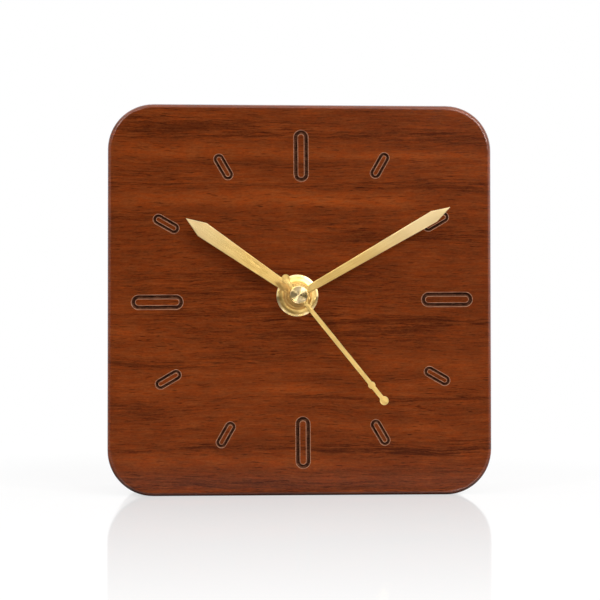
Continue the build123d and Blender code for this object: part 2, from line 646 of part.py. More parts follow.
def rear_cover():
    """The snapped-on back of the case, with the rear bearings and the knob's collar."""
    past = CASE_HALF + OVERRUN
    edge = PARTITION_Z + FACE_GAP
    cover = slab(RectangleRounded(CASE_WIDTH, CASE_WIDTH, CASE_CORNER), COVER_Y, CASE_BACK_Y)
    cover -= block(-past, past, -past, edge, COVER_Y - OVERRUN, CASE_BACK_Y + OVERRUN)
    lip_half = INSIDE_HALF - FACE_GAP
    lip_middle = (lip_half + PARTITION_TOP_Z + FACE_GAP) / 2
    lip_height = lip_half - PARTITION_TOP_Z - FACE_GAP
    lip = RectangleRounded(2 * lip_half, lip_height, CASE_CORNER - CASE_WALL)
    lip -= Rectangle(2 * (lip_half - COVER_LIP_WALL), lip_height - 2 * COVER_LIP_WALL)
    cover += slab(Pos(0, lip_middle) * lip, COVER_Y - COVER_LIP, COVER_Y)
    for side, height in SNAPS:
        foot = COVER_Y - SNAP_DEPTH
        outer = side * lip_half
        tongue = sorted((outer, outer - side * COVER_LIP_WALL))
        nib = sorted((outer, outer + side * SNAP_NIB))
        low_edge, high_edge = height - SNAP_WIDTH / 2, height + SNAP_WIDTH / 2
        cover += block(*tongue, low_edge, high_edge, foot, COVER_Y)
        cover += block(*nib, low_edge, high_edge, foot, foot + SNAP_NIB_DEPTH)
    cover += bars([MAIN, FIFTH], BOSS, MAGNET_Y, COVER_Y)
    cover += disc(BOSS, MAGNET_BACK_Y + BOSS_GAP, COVER_Y, ROTOR)
    cover += disc(SETTING_BOSS, COVER_Y - SETTING_BOSS_DEPTH, COVER_Y, SETTING)
    cover -= disc(SECONDS_ARBOR + 2 * RUN_GAP, MAGNET_Y - OVERRUN, MAGNET_Y + SECONDS_TAIL + FACE_GAP)
    cover -= disc(PIVOT + 2 * RUN_GAP, MAGNET_Y - OVERRUN, MAGNET_Y + PIVOT_DEPTH + FACE_GAP, FIFTH)
    rotor_boss = MAGNET_BACK_Y + BOSS_GAP
    cover -= disc(PIVOT + 2 * RUN_GAP, rotor_boss - OVERRUN, rotor_boss + PIVOT_DEPTH + FACE_GAP, ROTOR)
    shaft_hole = SETTING_SHAFT + 2 * RUN_GAP
    return cover - disc(shaft_hole, COVER_Y - SETTING_BOSS_DEPTH - OVERRUN, CASE_BACK_Y + OVERRUN, SETTING)


def middle_plate():
    """The plate that carries the train, the motor, the circuit board and the bridge."""
    height = PLATE_HIGH_Z - PLATE_LOW_Z
    outline = RectangleRounded(2 * (INSIDE_HALF - PLATE_GAP), height, CASE_CORNER - CASE_WALL)
    plate = slab(Pos(0, PLATE_LOW_Z + height / 2) * outline, PLATE_Y, PLATE_BACK_Y)
    plate += bars(BRIDGE_POSTS, POST, PLATE_BACK_Y, BRIDGE_Y)
    plate += bars(BRIDGE_POSTS, POST_PEG, BRIDGE_Y, BRIDGE_BACK_Y)
    plate += bars(BOARD_POSTS, POST, PLATE_BACK_Y, BOARD_Y)
    plate += bars(BOARD_POSTS, POST_PEG, BOARD_Y, BOARD_BACK_Y)
    plate += bars(CORE_POSTS, PILLAR, PLATE_BACK_Y, CORE_Y)
    screw_end = STATOR_Y + STATOR_THICKNESS - SCREW_LENGTH
    plate -= bars(CORE_POSTS, SCREW_SHANK + 2 * PRESS_GAP, screw_end - FACE_GAP, CORE_Y + OVERRUN)
    front, back = PLATE_Y - OVERRUN, PLATE_BACK_Y + OVERRUN
    plate -= bars(PILLARS, PEG + 2 * PRESS_GAP, front, back)
    plate -= disc(MINUTE_TUBE + 2 * RUN_GAP, front, back)
    plate -= disc(PIVOT + 2 * RUN_GAP, front, back, THIRD)
    plate -= disc(MOTION_PIVOT + 2 * RUN_GAP, front, back, MOTION)
    return plate - disc(SETTING_SHAFT + 2 * RUN_GAP, front, back, SETTING)


def train_bridge():
    """The inner plate over the third wheel, which bears the fast half of the train."""
    columns, rows = zip(*BRIDGE_POSTS)
    width = max(columns) - min(columns) + 2 * BRIDGE_EDGE
    height = max(rows) - min(rows) + 2 * BRIDGE_EDGE
    middle = Pos((max(columns) + min(columns)) / 2, (max(rows) + min(rows)) / 2)
    bridge = slab(middle * RectangleRounded(width, height, BRIDGE_CORNER), BRIDGE_Y, BRIDGE_BACK_Y)
    front, back = BRIDGE_Y - OVERRUN, BRIDGE_BACK_Y + OVERRUN
    bridge -= bars(BRIDGE_POSTS, POST_PEG + 2 * PRESS_GAP, front, back)
    bridge -= disc(SECONDS_ARBOR + 2 * RUN_GAP, front, back)
    return bridge - bars([THIRD, FIFTH, ROTOR], PIVOT + 2 * RUN_GAP, front, back)


def hour_wheel():
    """The twelve-hour wheel and the tube that carries the hour hand."""
    front = away(HOUR_TUBE_HEIGHT)
    solid = wheel(HOUR_TEETH, HOUR_MODULE, HOUR_WHEEL_Y, HOUR_PHASE, MAIN)
    solid += disc(HOUR_TUBE + WHEEL_RIM, HOUR_WHEEL_Y, HOUR_WHEEL_Y + WHEEL_THICKNESS)
    solid += disc(HOUR_TUBE, front, HOUR_WHEEL_Y + WHEEL_THICKNESS)
    back = HOUR_WHEEL_Y + WHEEL_THICKNESS
    return solid - disc(MINUTE_TUBE + 2 * RUN_GAP, front - OVERRUN, back + OVERRUN)


def minute_arbor():
    """The hollow minute arbor, with its cannon pinion and the collar of the slip clutch."""
    front = away(MINUTE_TUBE_HEIGHT)
    back = CENTRE_WHEEL_Y + WHEEL_THICKNESS + FACE_GAP + SPRING_THICKNESS
    solid = disc(MINUTE_TUBE, front, back)
    solid += pinion(CANNON_TEETH, CANNON_MODULE, MOTION_WHEEL_Y, CANNON_PHASE, MAIN)
    collar_back = CENTRE_WHEEL_Y - RUN_GAP
    solid += disc(MINUTE_COLLAR, collar_back - MINUTE_COLLAR_THICKNESS, collar_back)
    return solid - disc(SECONDS_ARBOR + 2 * RUN_GAP, front - OVERRUN, back + OVERRUN)


def centre_wheel():
    """The once-an-hour wheel, which drives the minute arbor through the slip clutch."""
    solid = wheel(CENTRE_TEETH, TRAIN_MODULE, CENTRE_WHEEL_Y, CENTRE_PHASE, MAIN)
    solid += disc(MINUTE_COLLAR, CENTRE_WHEEL_Y, CENTRE_WHEEL_Y + WHEEL_THICKNESS)
    bore = MINUTE_TUBE + 2 * RUN_GAP
    return solid - disc(bore, CENTRE_WHEEL_Y - OVERRUN, CENTRE_WHEEL_Y + WHEEL_THICKNESS + OVERRUN)


def clutch_spring():
    """The three-armed spring on the minute arbor that presses on the centre wheel."""
    back = CENTRE_WHEEL_Y + WHEEL_THICKNESS + FACE_GAP + SPRING_THICKNESS
    plan = Sketch() + Circle(SPRING_HUB / 2)
    for arm in range(SPRING_ARMS):
        strip = Pos(0, SPRING_SPAN / 4) * Rectangle(SPRING_ARM, SPRING_SPAN / 2)
        plan += Rot(0, 0, arm * 360 / SPRING_ARMS) * strip
    plan -= Circle(MINUTE_TUBE / 2 + PRESS_GAP)
    return slab(plan, back - SPRING_THICKNESS, back)


def seconds_arbor():
    """The long steel arbor that carries the second hand."""
    foot = away(SECOND_HAND_HEIGHT + SECOND_HAND_THICKNESS)
    return disc(SECONDS_ARBOR, foot - CAP_RECESS + FACE_GAP, MAGNET_Y + SECONDS_TAIL)


def seconds_wheel():
    """The once-a-minute wheel and its pinion, moulded as one and pressed on the arbor."""
    solid = wheel(SECONDS_TEETH, TRAIN_MODULE, SECONDS_WHEEL_Y, SECONDS_PHASE, MAIN)
    module = THIRD_MODULE
    small = pinion(TRAIN_PINION_TEETH, module, THIRD_WHEEL_Y, SECONDS_PINION_PHASE, MAIN)
    bore = disc(SECONDS_ARBOR + 2 * PRESS_GAP, THIRD_WHEEL_Y - OVERRUN, FIFTH_WHEEL_Y)
    return Part() + [solid - bore, small - bore]


def third_wheel():
    """The wheel between the centre and the seconds, with its pinion and pivots."""
    solid = wheel(THIRD_TEETH, THIRD_MODULE, THIRD_WHEEL_Y, THIRD_PHASE, THIRD)
    solid += pinion(TRAIN_PINION_TEETH, TRAIN_MODULE, CENTRE_WHEEL_Y, THIRD_PINION_PHASE, THIRD)
    solid += disc(ARBOR, PLATE_BACK_Y + FACE_GAP, BRIDGE_Y - FACE_GAP, THIRD)
    return solid + disc(PIVOT, PLATE_Y + FACE_GAP, BRIDGE_BACK_Y - FACE_GAP, THIRD)


def fifth_wheel():
    """The wheel between the seconds and the rotor, with its pinion and pivots."""
    solid = wheel(FIFTH_TEETH, FIFTH_MODULE, FIFTH_WHEEL_Y, FIFTH_PHASE, FIFTH)
    solid += pinion(TRAIN_PINION_TEETH, TRAIN_MODULE, SECONDS_WHEEL_Y, FIFTH_PINION_PHASE, FIFTH)
    solid += disc(ARBOR, BRIDGE_BACK_Y + FACE_GAP, MAGNET_Y - FACE_GAP, FIFTH)
    return solid + disc(PIVOT, BRIDGE_Y, MAGNET_Y + PIVOT_DEPTH, FIFTH)


def rotor_pinion():
    """The plastic arbor and pinion of the motor's rotor."""
    boss = MAGNET_BACK_Y + BOSS_GAP
    solid = pinion(TRAIN_PINION_TEETH, FIFTH_MODULE, FIFTH_WHEEL_Y, ROTOR_PHASE, ROTOR)
    solid += disc(ARBOR, BRIDGE_BACK_Y + FACE_GAP, boss - FACE_GAP, ROTOR)
    return solid + disc(PIVOT, BRIDGE_Y, boss + PIVOT_DEPTH, ROTOR)


def rotor_magnet():
    """The magnet ring pressed on the rotor's arbor."""
    ring = disc(MAGNET_DIAMETER, MAGNET_Y, MAGNET_BACK_Y, ROTOR)
    return ring - disc(ARBOR + 2 * PRESS_GAP, MAGNET_Y - OVERRUN, MAGNET_BACK_Y + OVERRUN, ROTOR)


def motion_wheel():
    """The wheel and pinion that gear the hour hand down from the minute hand."""
    solid = wheel(MOTION_TEETH, CANNON_MODULE, MOTION_WHEEL_Y, MOTION_PHASE, MOTION)
    solid += pinion(MOTION_PINION_TEETH, HOUR_MODULE, HOUR_WHEEL_Y, MOTION_PINION_PHASE, MOTION)
    solid += disc(ARBOR + WHEEL_WEB, HOUR_WHEEL_Y, PLATE_Y - FACE_GAP, MOTION)
    return solid + disc(MOTION_PIVOT, FLOOR_Y - PIVOT_DEPTH, PLATE_BACK_Y - FACE_GAP, MOTION)


def setting_shaft():
    """The shaft from the knob to the motion wheel, with its pinion."""
    solid = pinion(CANNON_TEETH, CANNON_MODULE, MOTION_WHEEL_Y, SETTING_PHASE, SETTING)
    back = CASE_BACK_Y + KNOB_STANDOFF + KNOB_THICKNESS - KNOB_DISH
    solid += disc(SETTING_SHAFT, HOUR_WHEEL_Y, back, SETTING)
    return solid + disc(MOTION_PIVOT, FLOOR_Y - PIVOT_DEPTH, HOUR_WHEEL_Y, SETTING)


def setting_knob():
    """The fluted thumb knob on the back that sets the hands."""
    front = CASE_BACK_Y + KNOB_STANDOFF
    back = front + KNOB_THICKNESS
    knob = disc(KNOB_DIAMETER, front, back, SETTING)
    knob = chamfer(knob.faces().sort_by(Axis.Y)[-1].edges(), KNOB_EDGE)
    turns = [index * 360 / KNOB_FLUTES for index in range(KNOB_FLUTES)]
    flutes = [beside(SETTING, KNOB_DIAMETER / 2, turn) for turn in turns]
    knob -= bars(flutes, KNOB_FLUTE, front - OVERRUN, back + OVERRUN)
    knob -= disc(KNOB_DISH_DIAMETER, back - KNOB_DISH, back + OVERRUN, SETTING)
    return knob - disc(SETTING_SHAFT + 2 * PRESS_GAP, front - OVERRUN, back + OVERRUN, SETTING)


def stator_plate():
    """The iron plate that leads the coil's field round the rotor."""
    half = STATOR_LIMB / 2
    low, high = ROTOR[1] - half, COIL_CENTRE_Z + half
    back = STATOR_Y + STATOR_THICKNESS
    plate = block(STATOR_LEFT - half, STATOR_RIGHT + half, low, low + STATOR_LIMB, STATOR_Y, back)
    for leg in (STATOR_LEFT, STATOR_RIGHT):
        plate += block(leg - half, leg + half, low, high, STATOR_Y, back)
    plate += disc(STATOR_EYE, STATOR_Y, back, ROTOR)
    plate -= disc(STATOR_HOLE, STATOR_Y - OVERRUN, back + OVERRUN, ROTOR)
    return plate - bars(CORE_POSTS, SCREW_SHANK + 2 * FACE_GAP, STATOR_Y - OVERRUN, back + OVERRUN)


def coil_core():
    """The flat iron core through the coil, screwed under the ends of the stator."""
    half = STATOR_LIMB / 2
    low, high = COIL_CENTRE_Z - CORE_WIDTH / 2, COIL_CENTRE_Z + CORE_WIDTH / 2
    core = block(STATOR_LEFT - half, STATOR_RIGHT + half, low, high, CORE_Y, STATOR_Y)
    return core - bars(CORE_POSTS, SCREW_SHANK + 2 * FACE_GAP, CORE_Y - OVERRUN, STATOR_Y + OVERRUN)


def along_coil(plan, low_x, high_x):
    """A section carried along the coil, between two places across the movement."""
    section = Plane.YZ.offset(low_x) * (Pos(COIL_Y, COIL_CENTRE_Z) * plan)
    return extrude(section, amount=high_x - low_x)


def coil_bobbin():
    """The plastic bobbin: a tube round the core between two square flanges."""
    low, high = BOBBIN_X
    bobbin = along_coil(Circle(COIL_TUBE / 2), low, high)
    flange = Rectangle(COIL_FLANGE, COIL_FLANGE)
    bobbin += along_coil(flange, low, low + COIL_FLANGE_THICKNESS)
    bobbin += along_coil(flange, high - COIL_FLANGE_THICKNESS, high)
    opening = Rectangle(CORE_THICKNESS + 2 * CORE_GAP, CORE_WIDTH + 2 * CORE_GAP)
    return bobbin - along_coil(opening, low - OVERRUN, high + OVERRUN)


def coil_winding():
    """The copper winding, as the sleeve that its thousands of turns fill."""
    low, high = BOBBIN_X
    ends = (low + COIL_FLANGE_THICKNESS + PRESS_GAP, high - COIL_FLANGE_THICKNESS - PRESS_GAP)
    sleeve = along_coil(Circle(WINDING_DIAMETER / 2), *ends)
    return sleeve - along_coil(Circle(COIL_TUBE / 2 + PRESS_GAP), *ends)


def coil_screws():
    """The two screws that hold the stator and the core to the plate."""
    seat = STATOR_Y + STATOR_THICKNESS
    screws = []
    for place in CORE_POSTS:
        screw = disc(SCREW_HEAD, seat, seat + SCREW_HEAD_HEIGHT, place)
        screw += disc(SCREW_SHANK, seat - SCREW_LENGTH, seat, place)
        slot = Pos(*place) * Rectangle(SCREW_HEAD + OVERRUN, SCREW_SLOT)
        screws.append(screw - slab(slot, seat + SCREW_HEAD_HEIGHT / 2, seat + SCREW_HEAD_HEIGHT + OVERRUN))
    return Part() + screws


def circuit_board():
    """The small circuit board on its two posts."""
    board = block(BOARD_LEFT, BOARD_RIGHT, BOARD_BOTTOM, BOARD_TOP, BOARD_Y, BOARD_BACK_Y)
    return board - bars(BOARD_POSTS, POST_PEG + 2 * PRESS_GAP, BOARD_Y - OVERRUN, BOARD_BACK_Y + OVERRUN)


def clock_chip():
    """The drop of black resin over the bare chip."""
    place = (BOARD_MIDDLE, BOARD_BOTTOM + CHIP_UP)
    drop = disc(CHIP_DIAMETER, BOARD_BACK_Y, BOARD_BACK_Y + CHIP_HEIGHT, place)
    return fillet(drop.faces().sort_by(Axis.Y)[-1].edges(), CHIP_ROUND)


def quartz_crystal():
    """The quartz resonator in its small metal can."""
    low = BOARD_BOTTOM + CRYSTAL_UP - CRYSTAL_LENGTH / 2
    middle = BOARD_BACK_Y + CRYSTAL_DIAMETER / 2
    section = Plane.XY.offset(low) * (Pos(BOARD_MIDDLE, middle) * Circle(CRYSTAL_DIAMETER / 2))
    return extrude(section, amount=CRYSTAL_LENGTH)


def contact_ends(side):
    """The wall face that a contact lies on, as low and high x."""
    return sorted((side * INSIDE_HALF, side * (INSIDE_HALF - CONTACT_THICKNESS)))


def contact_blade(side):
    """The part of a contact against the end wall of the bay, with its tail through the partition."""
    ends = contact_ends(side)
    low, high = BATTERY_Z - CONTACT_HEIGHT / 2, BATTERY_Z + CONTACT_HEIGHT / 2
    blade = block(*ends, low, high, BATTERY_Y - CONTACT_WIDTH / 2, BATTERY_Y + CONTACT_WIDTH / 2)
    tail_front = BOARD_BACK_Y - CONTACT_TAIL
    tail_top = PARTITION_TOP_Z + CONTACT_THICKNESS
    tail = block(*ends, high, tail_top, tail_front, BOARD_BACK_Y + CONTACT_THICKNESS)
    return blade + tail


def battery_contact_positive():
    """The plate at the button end, with a strip along the partition to the circuit board."""
    contact = contact_blade(1)
    low, high = PARTITION_TOP_Z, PARTITION_TOP_Z + CONTACT_THICKNESS
    back = BOARD_BACK_Y + CONTACT_THICKNESS
    tab_left = BOARD_RIGHT - CONTACT_TAB * 3 / 2
    contact += block(tab_left, INSIDE_HALF, low, high, BOARD_BACK_Y - CONTACT_TAIL, back)
    tab_top = BOARD_BOTTOM + CONTACT_TAB_LAP
    return contact + block(tab_left, tab_left + CONTACT_TAB, low, tab_top, BOARD_BACK_Y, back)


def battery_contact_negative():
    """The sprung leaf at the flat end, with its tail to the circuit board."""
    contact = contact_blade(-1)
    wall, face = contact_ends(-1)
    tip = BATTERY_MINUS_X - FACE_GAP
    half = SPRING_LEAF_SPAN / 2
    outer = [(face, BATTERY_Z - half), (tip, BATTERY_Z), (face, BATTERY_Z + half)]
    inner = [(x - CONTACT_THICKNESS, z) for x, z in outer]
    leaf = make_face(Curve() + [
        ThreePointArc(*outer),
        Line(outer[-1], inner[-1]),
        ThreePointArc(*reversed(inner)),
        Line(inner[0], outer[0]),
    ])
    contact += slab(leaf, BATTERY_Y - SPRING_LEAF_WIDTH / 2, BATTERY_Y + SPRING_LEAF_WIDTH / 2)
    back = BOARD_BACK_Y + CONTACT_THICKNESS
    tab_top = BOARD_BOTTOM + CONTACT_TAB_LAP
    contact += block(wall, face, PARTITION_TOP_Z, tab_top, BOARD_BACK_Y - CONTACT_TAIL, back)
    return contact + block(face, BOARD_LEFT + CONTACT_TAB_LAP, BOARD_BOTTOM, tab_top, BOARD_BACK_Y, back)


def along_battery(diameter, low_x, high_x):
    """A round bar along the battery's own axis."""
    section = Plane.YZ.offset(low_x) * (Pos(BATTERY_Y, BATTERY_Z) * Circle(diameter / 2))
    return extrude(section, amount=high_x - low_x)


def battery_cell():
    """The steel can of the battery, with the button at its positive end."""
    shoulder = BATTERY_PLUS_X - BATTERY_NUB_LENGTH
    can = along_battery(BATTERY_DIAMETER - 2 * JACKET_THICKNESS - 2 * PRESS_GAP, BATTERY_MINUS_X, shoulder)
    return can + along_battery(BATTERY_NUB, shoulder, BATTERY_PLUS_X)


def battery_jacket():
    """The printed-plastic sleeve round the can."""
    low = BATTERY_MINUS_X + BATTERY_SHOULDER
    high = BATTERY_PLUS_X - BATTERY_NUB_LENGTH - BATTERY_SHOULDER
    sleeve = along_battery(BATTERY_DIAMETER, low, high)
    return sleeve - along_battery(BATTERY_DIAMETER - 2 * JACKET_THICKNESS, low - OVERRUN, high + OVERRUN)


ON_THE_AXIS = {
    "brass_washer": brass_washer,
    "dial_nut": dial_nut,
    "threaded_bush": threaded_bush,
    "rubber_gasket": rubber_gasket,
    "hour_hand": hour_hand,
    "minute_hand": minute_hand,
    "second_hand": second_hand,
    "second_hand_cap": second_hand_cap,
    "movement_front_shell": front_shell,
    "movement_rear_cover": rear_cover,
    "middle_plate": middle_plate,
    "train_bridge": train_bridge,
    "hour_wheel": hour_wheel,
    "minute_arbor": minute_arbor,
    "centre_wheel": centre_wheel,
    "clutch_spring": clutch_spring,
    "seconds_arbor": seconds_arbor,
    "seconds_wheel": seconds_wheel,
    "third_wheel": third_wheel,
    "fifth_wheel": fifth_wheel,
    "rotor_pinion": rotor_pinion,
    "rotor_magnet": rotor_magnet,
    "motion_wheel": motion_wheel,
    "setting_shaft": setting_shaft,
    "setting_knob": setting_knob,
    "stator_plate": stator_plate,
    "coil_core": coil_core,
    "coil_bobbin": coil_bobbin,
    "coil_winding": coil_winding,
    "coil_screws": coil_screws,
    "circuit_board": circuit_board,
    "clock_chip": clock_chip,
    "quartz_crystal": quartz_crystal,
    "battery_contact_positive": battery_contact_positive,
    "battery_contact_negative": battery_contact_negative,
    "battery_cell": battery_cell,
    "battery_jacket": battery_jacket,
}


def main():
    os.makedirs("parts", exist_ok=True)
    export_step(wooden_block(), os.path.join("parts", "wooden_block.step"))
    for name, make in ON_THE_AXIS.items():
        export_step(AXIS * make(), os.path.join("parts", name + ".step"))


main()
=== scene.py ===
# %% [markdown]
# # A square wooden desk clock
# The clock is a solid block of dark, oiled hardwood with twelve carved marks, three brass hands
# and a battery movement in a pocket in its back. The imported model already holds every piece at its
# real size. This lesson gives each piece its finish, turns the small brass parts on a lathe made
# of arrays, lines the carved marks, and sets up a plain white studio.

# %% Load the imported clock
import bmesh
import bpy
import json
import math
import numpy as np
from mathutils import Matrix, Vector


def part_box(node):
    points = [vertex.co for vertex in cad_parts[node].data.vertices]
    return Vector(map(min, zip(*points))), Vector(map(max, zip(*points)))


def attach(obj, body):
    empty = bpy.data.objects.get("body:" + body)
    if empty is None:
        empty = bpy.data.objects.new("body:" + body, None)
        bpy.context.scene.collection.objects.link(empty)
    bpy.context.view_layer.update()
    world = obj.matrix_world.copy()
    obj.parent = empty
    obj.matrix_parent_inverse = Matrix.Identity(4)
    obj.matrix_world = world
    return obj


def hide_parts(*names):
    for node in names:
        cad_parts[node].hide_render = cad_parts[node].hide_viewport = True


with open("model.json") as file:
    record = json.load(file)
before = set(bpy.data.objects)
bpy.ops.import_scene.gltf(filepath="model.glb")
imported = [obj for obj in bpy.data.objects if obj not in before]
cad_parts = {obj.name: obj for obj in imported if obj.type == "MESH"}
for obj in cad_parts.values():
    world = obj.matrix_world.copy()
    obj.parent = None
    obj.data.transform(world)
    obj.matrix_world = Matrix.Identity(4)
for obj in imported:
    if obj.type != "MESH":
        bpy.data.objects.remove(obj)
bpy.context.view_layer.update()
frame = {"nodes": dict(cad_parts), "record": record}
MM = 0.001

# %% [markdown]
# ## Where the sizes come from
# The dial's depth, the hands' axis, and the outer sizes of the brass parts are read from the boxes
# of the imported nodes, so the new pieces sit exactly where the solids do.

# %% Read the driving places from the frame
block_low, block_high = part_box("wooden_block")
arbor_low, arbor_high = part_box("seconds_arbor")
DIAL_Y = block_low.y
AXIS_X = (arbor_low.x + arbor_high.x) / 2
AXIS_Z = (arbor_low.z + arbor_high.z) / 2
print("hands' axis at x", round(AXIS_X / MM, 3), "mm and z", round(AXIS_Z / MM, 3), "mm")

# %% [markdown]
# ## The camera
# A product photograph of a flat dial is taken from far away with a long lens, so that the square
# stays square. The lens, the place and the three small turns below were worked out from the
# outline of the dial, the hands' axis and the twelve marks, which the photograph shows clearly.

# %% Place the camera
CAMERA_PLACE = Vector((-27.72, -530.39, 49.87)) * MM
CAMERA_YAW = math.radians(3.087)
CAMERA_PITCH = math.radians(1.123)
CAMERA_ROLL = math.radians(-0.042)
LENS_LENGTH = 100.0
SENSOR_WIDTH = 36.0


def place_camera():
    """Look along yaw and pitch, then roll about that line; a camera looks down its own -Z."""
    forward = Vector((
        math.sin(CAMERA_YAW) * math.cos(CAMERA_PITCH),
        math.cos(CAMERA_YAW) * math.cos(CAMERA_PITCH),
        math.sin(CAMERA_PITCH),
    ))
    level = forward.cross(Vector((0, 0, 1))).normalized()
    upright = level.cross(forward)
    right = level * math.cos(CAMERA_ROLL) + upright * math.sin(CAMERA_ROLL)
    up = upright * math.cos(CAMERA_ROLL) - level * math.sin(CAMERA_ROLL)
    turn = Matrix((right, up, -forward)).transposed()
    lens = bpy.data.cameras.new("dial_camera")
    lens.lens, lens.sensor_width = LENS_LENGTH, SENSOR_WIDTH
    camera = bpy.data.objects.new("dial_camera", lens)
    camera.matrix_world = Matrix.Translation(CAMERA_PLACE) @ turn.to_4x4()
    bpy.context.scene.collection.objects.link(camera)
    bpy.context.scene.camera = camera
    return camera


print("camera at", [round(part / MM, 1) for part in place_camera().matrix_world.translation], "mm")
bpy.context.scene.view_settings.view_transform = "Standard"

# %% [markdown]
# ## Small helpers for node trees
# A finish is a chain of shader nodes. Written out one by one they fill pages, so short helpers
# do the typing: `add` makes a node and fills its sockets by name, `spread` carries a number from
# one range to another, `sums` calculates, and `blend` mixes two colours. `stretched` gives a
# pattern its real size in metres along each axis, and `noise` makes a cloudy number of that size.

# %% Helpers: colours and single nodes
def rgb(red, green, blue):
    """A screen colour from 0 to 255 as the linear colour that shaders work in."""
    share = np.array((red, green, blue)) / 255
    linear = np.where(share <= 0.04045, share / 12.92, ((share + 0.055) / 1.055) ** 2.4)
    return (*linear, 1.0)


def add(tree, kind, sockets, **settings):
    """Make one node, set its own settings, and fill each socket with a value or a link."""
    node = tree.nodes.new(kind)
    for name, value in settings.items():
        setattr(node, name, value)
    for name, value in sockets.items():
        if isinstance(value, bpy.types.NodeSocket):
            tree.links.new(value, node.inputs[name])
        else:
            node.inputs[name].default_value = value
    return node

# %% Helpers: numbers and mixtures
def spread(tree, value, low, high, to_low=0.0, to_high=1.0, shape="SMOOTHSTEP"):
    """Carry a number from one range to another in a smooth step, held at both ends."""
    return add(
        tree, "ShaderNodeMapRange",
        {"Value": value, "From Min": low, "From Max": high, "To Min": to_low, "To Max": to_high},
        interpolation_type=shape,
    ).outputs["Result"]


def ramp(tree, value, low, high, to_low=0.0, to_high=1.0):
    """The same in a straight line."""
    return spread(tree, value, low, high, to_low, to_high, "LINEAR")


def swing(tree, value, reach, amount):
    """Turn a noise, whose middle value is a half, into a number that swings round zero."""
    return ramp(tree, value, 0.5 - reach, 0.5 + reach, -amount, amount)


def sums(tree, operation, first, *others):
    """Carry one sum on from number to number; ABSOLUTE needs only the first."""
    for other in others or (0.0,):
        first = add(tree, "ShaderNodeMath", {0: first, 1: other}, operation=operation).outputs[0]
    return first


def blend(tree, share, first, second):
    """Mix two colours by a share; the node's colour sockets are numbers 6 and 7."""
    return add(tree, "ShaderNodeMix", {0: share, 6: first, 7: second}, data_type="RGBA").outputs[2]


# %% Helpers: places and noise
def object_place(tree):
    """Where a point of the piece lies, in metres, in the frame that all pieces share."""
    return add(tree, "ShaderNodeTexCoord", {}).outputs["Object"]


def stretched(tree, place, lengths, turn=(0.0, 0.0, 0.0), centre=(0.0, 0.0, 0.0)):
    """A place seen from a centre, turned, and divided by a length along each axis."""
    return add(
        tree, "ShaderNodeMapping",
        {"Vector": place, "Location": centre, "Rotation": turn, "Scale": lengths},
        vector_type="TEXTURE",
    ).outputs["Vector"]


def length_of(tree, vector):
    """The length of a vector: the root of the sum of its squares."""
    return add(tree, "ShaderNodeVectorMath", {0: vector}, operation="LENGTH").outputs["Value"]


def noise(tree, place, lengths, detail=3.0, roughness=0.55, **mapping):
    """Cloudy noise between 0 and 1 that changes over a length in metres along each axis."""
    spot = stretched(tree, place, lengths, **mapping)
    return add(
        tree, "ShaderNodeTexNoise", {"Vector": spot, "Scale": 1.0, "Detail": detail, "Roughness": roughness}
    ).outputs["Fac"]


# %% Helpers: a finish and what its noises change
def new_finish(name, **sockets):
    """A material whose numbers that stay the same all over are set on the shader itself."""
    material = bpy.data.materials.new(name)
    material.use_nodes = True
    tree = material.node_tree
    shader = tree.nodes["Principled BSDF"]
    for socket, value in sockets.items():
        shader.inputs[socket.replace("_", " ")].default_value = value
    print("finish:", name)
    return material, tree, shader


def relief(tree, shader, height, depth, strength=1.0):
    """Let a height, from 0 to 1, lean the surface as if it stood proud by a depth in metres."""
    bump = add(tree, "ShaderNodeBump", {"Height": height, "Distance": depth, "Strength": strength})
    tree.links.new(bump.outputs["Normal"], shader.inputs["Normal"])


def vary_roughness(tree, shader, value, roughness, least, most):
    """Carry a noise in a straight line to a roughness between two shares of its middle value."""
    varied = ramp(tree, value, 0.3, 0.7, roughness * least, roughness * most)
    tree.links.new(varied, shader.inputs["Roughness"])


def two_tones(tree, shader, value, reach, first, second):
    """Let a noise mix two colours in a smooth step round its middle value, a half."""
    mixed = blend(tree, spread(tree, value, 0.5 - reach, 0.5 + reach), first, second)
    tree.links.new(mixed, shader.inputs["Base Color"])


# %% [markdown]
# ## The wood
# The block is one piece, so its grain is a solid pattern and not a picture on each face: the same
# streak that crosses the dial comes out on the end. Everything is stretched along X, the way the
# fibres run. The main streaks are those that this block happens to have, each a flat ellipsoid of
# darker or warmer wood. They were placed one by one.

# %% Where the main streaks lie
DARK_STREAKS = (
    # middle x, height z, half length, half height, strength, all in mm but the last
    (-38.0, 113.0, 34.0, 3.4, 0.80),
    (14.0, 111.5, 24.0, 1.6, 0.45),
    (43.0, 109.5, 22.0, 2.4, 0.60),
    (-2.0, 102.6, 46.0, 1.1, 0.45),
    (36.0, 94.0, 36.0, 1.7, 0.65),
    (-44.0, 97.0, 16.0, 2.2, 0.55),
    (-30.0, 94.6, 40.0, 1.0, 0.50),
    (-4.0, 84.0, 26.0, 1.6, 0.35),
    (34.0, 79.5, 30.0, 2.2, 0.40),
    (-46.0, 85.5, 16.0, 1.6, 0.45),
    (-14.0, 66.0, 34.0, 3.6, 0.45),
    (32.0, 53.8, 32.0, 1.3, 0.80),
    (12.0, 50.0, 30.0, 3.0, 0.45),
    (-16.0, 56.0, 30.0, 2.0, 0.40),
    (-46.0, 40.3, 26.0, 1.0, 0.85),
    (-12.0, 42.5, 34.0, 1.4, 0.40),
    (20.0, 36.0, 26.0, 1.2, 0.30),
    (22.0, 29.2, 48.0, 0.7, 0.75),
    (-48.0, 26.4, 14.0, 2.6, 0.50),
    (4.0, 13.8, 66.0, 1.2, 0.85),
    (44.0, 14.6, 20.0, 2.4, 0.65),
    (-36.0, 20.0, 26.0, 1.0, 0.35),
    (0.0, 3.4, 60.0, 2.4, 0.65),
    (30.0, 8.0, 30.0, 1.2, 0.40),
)
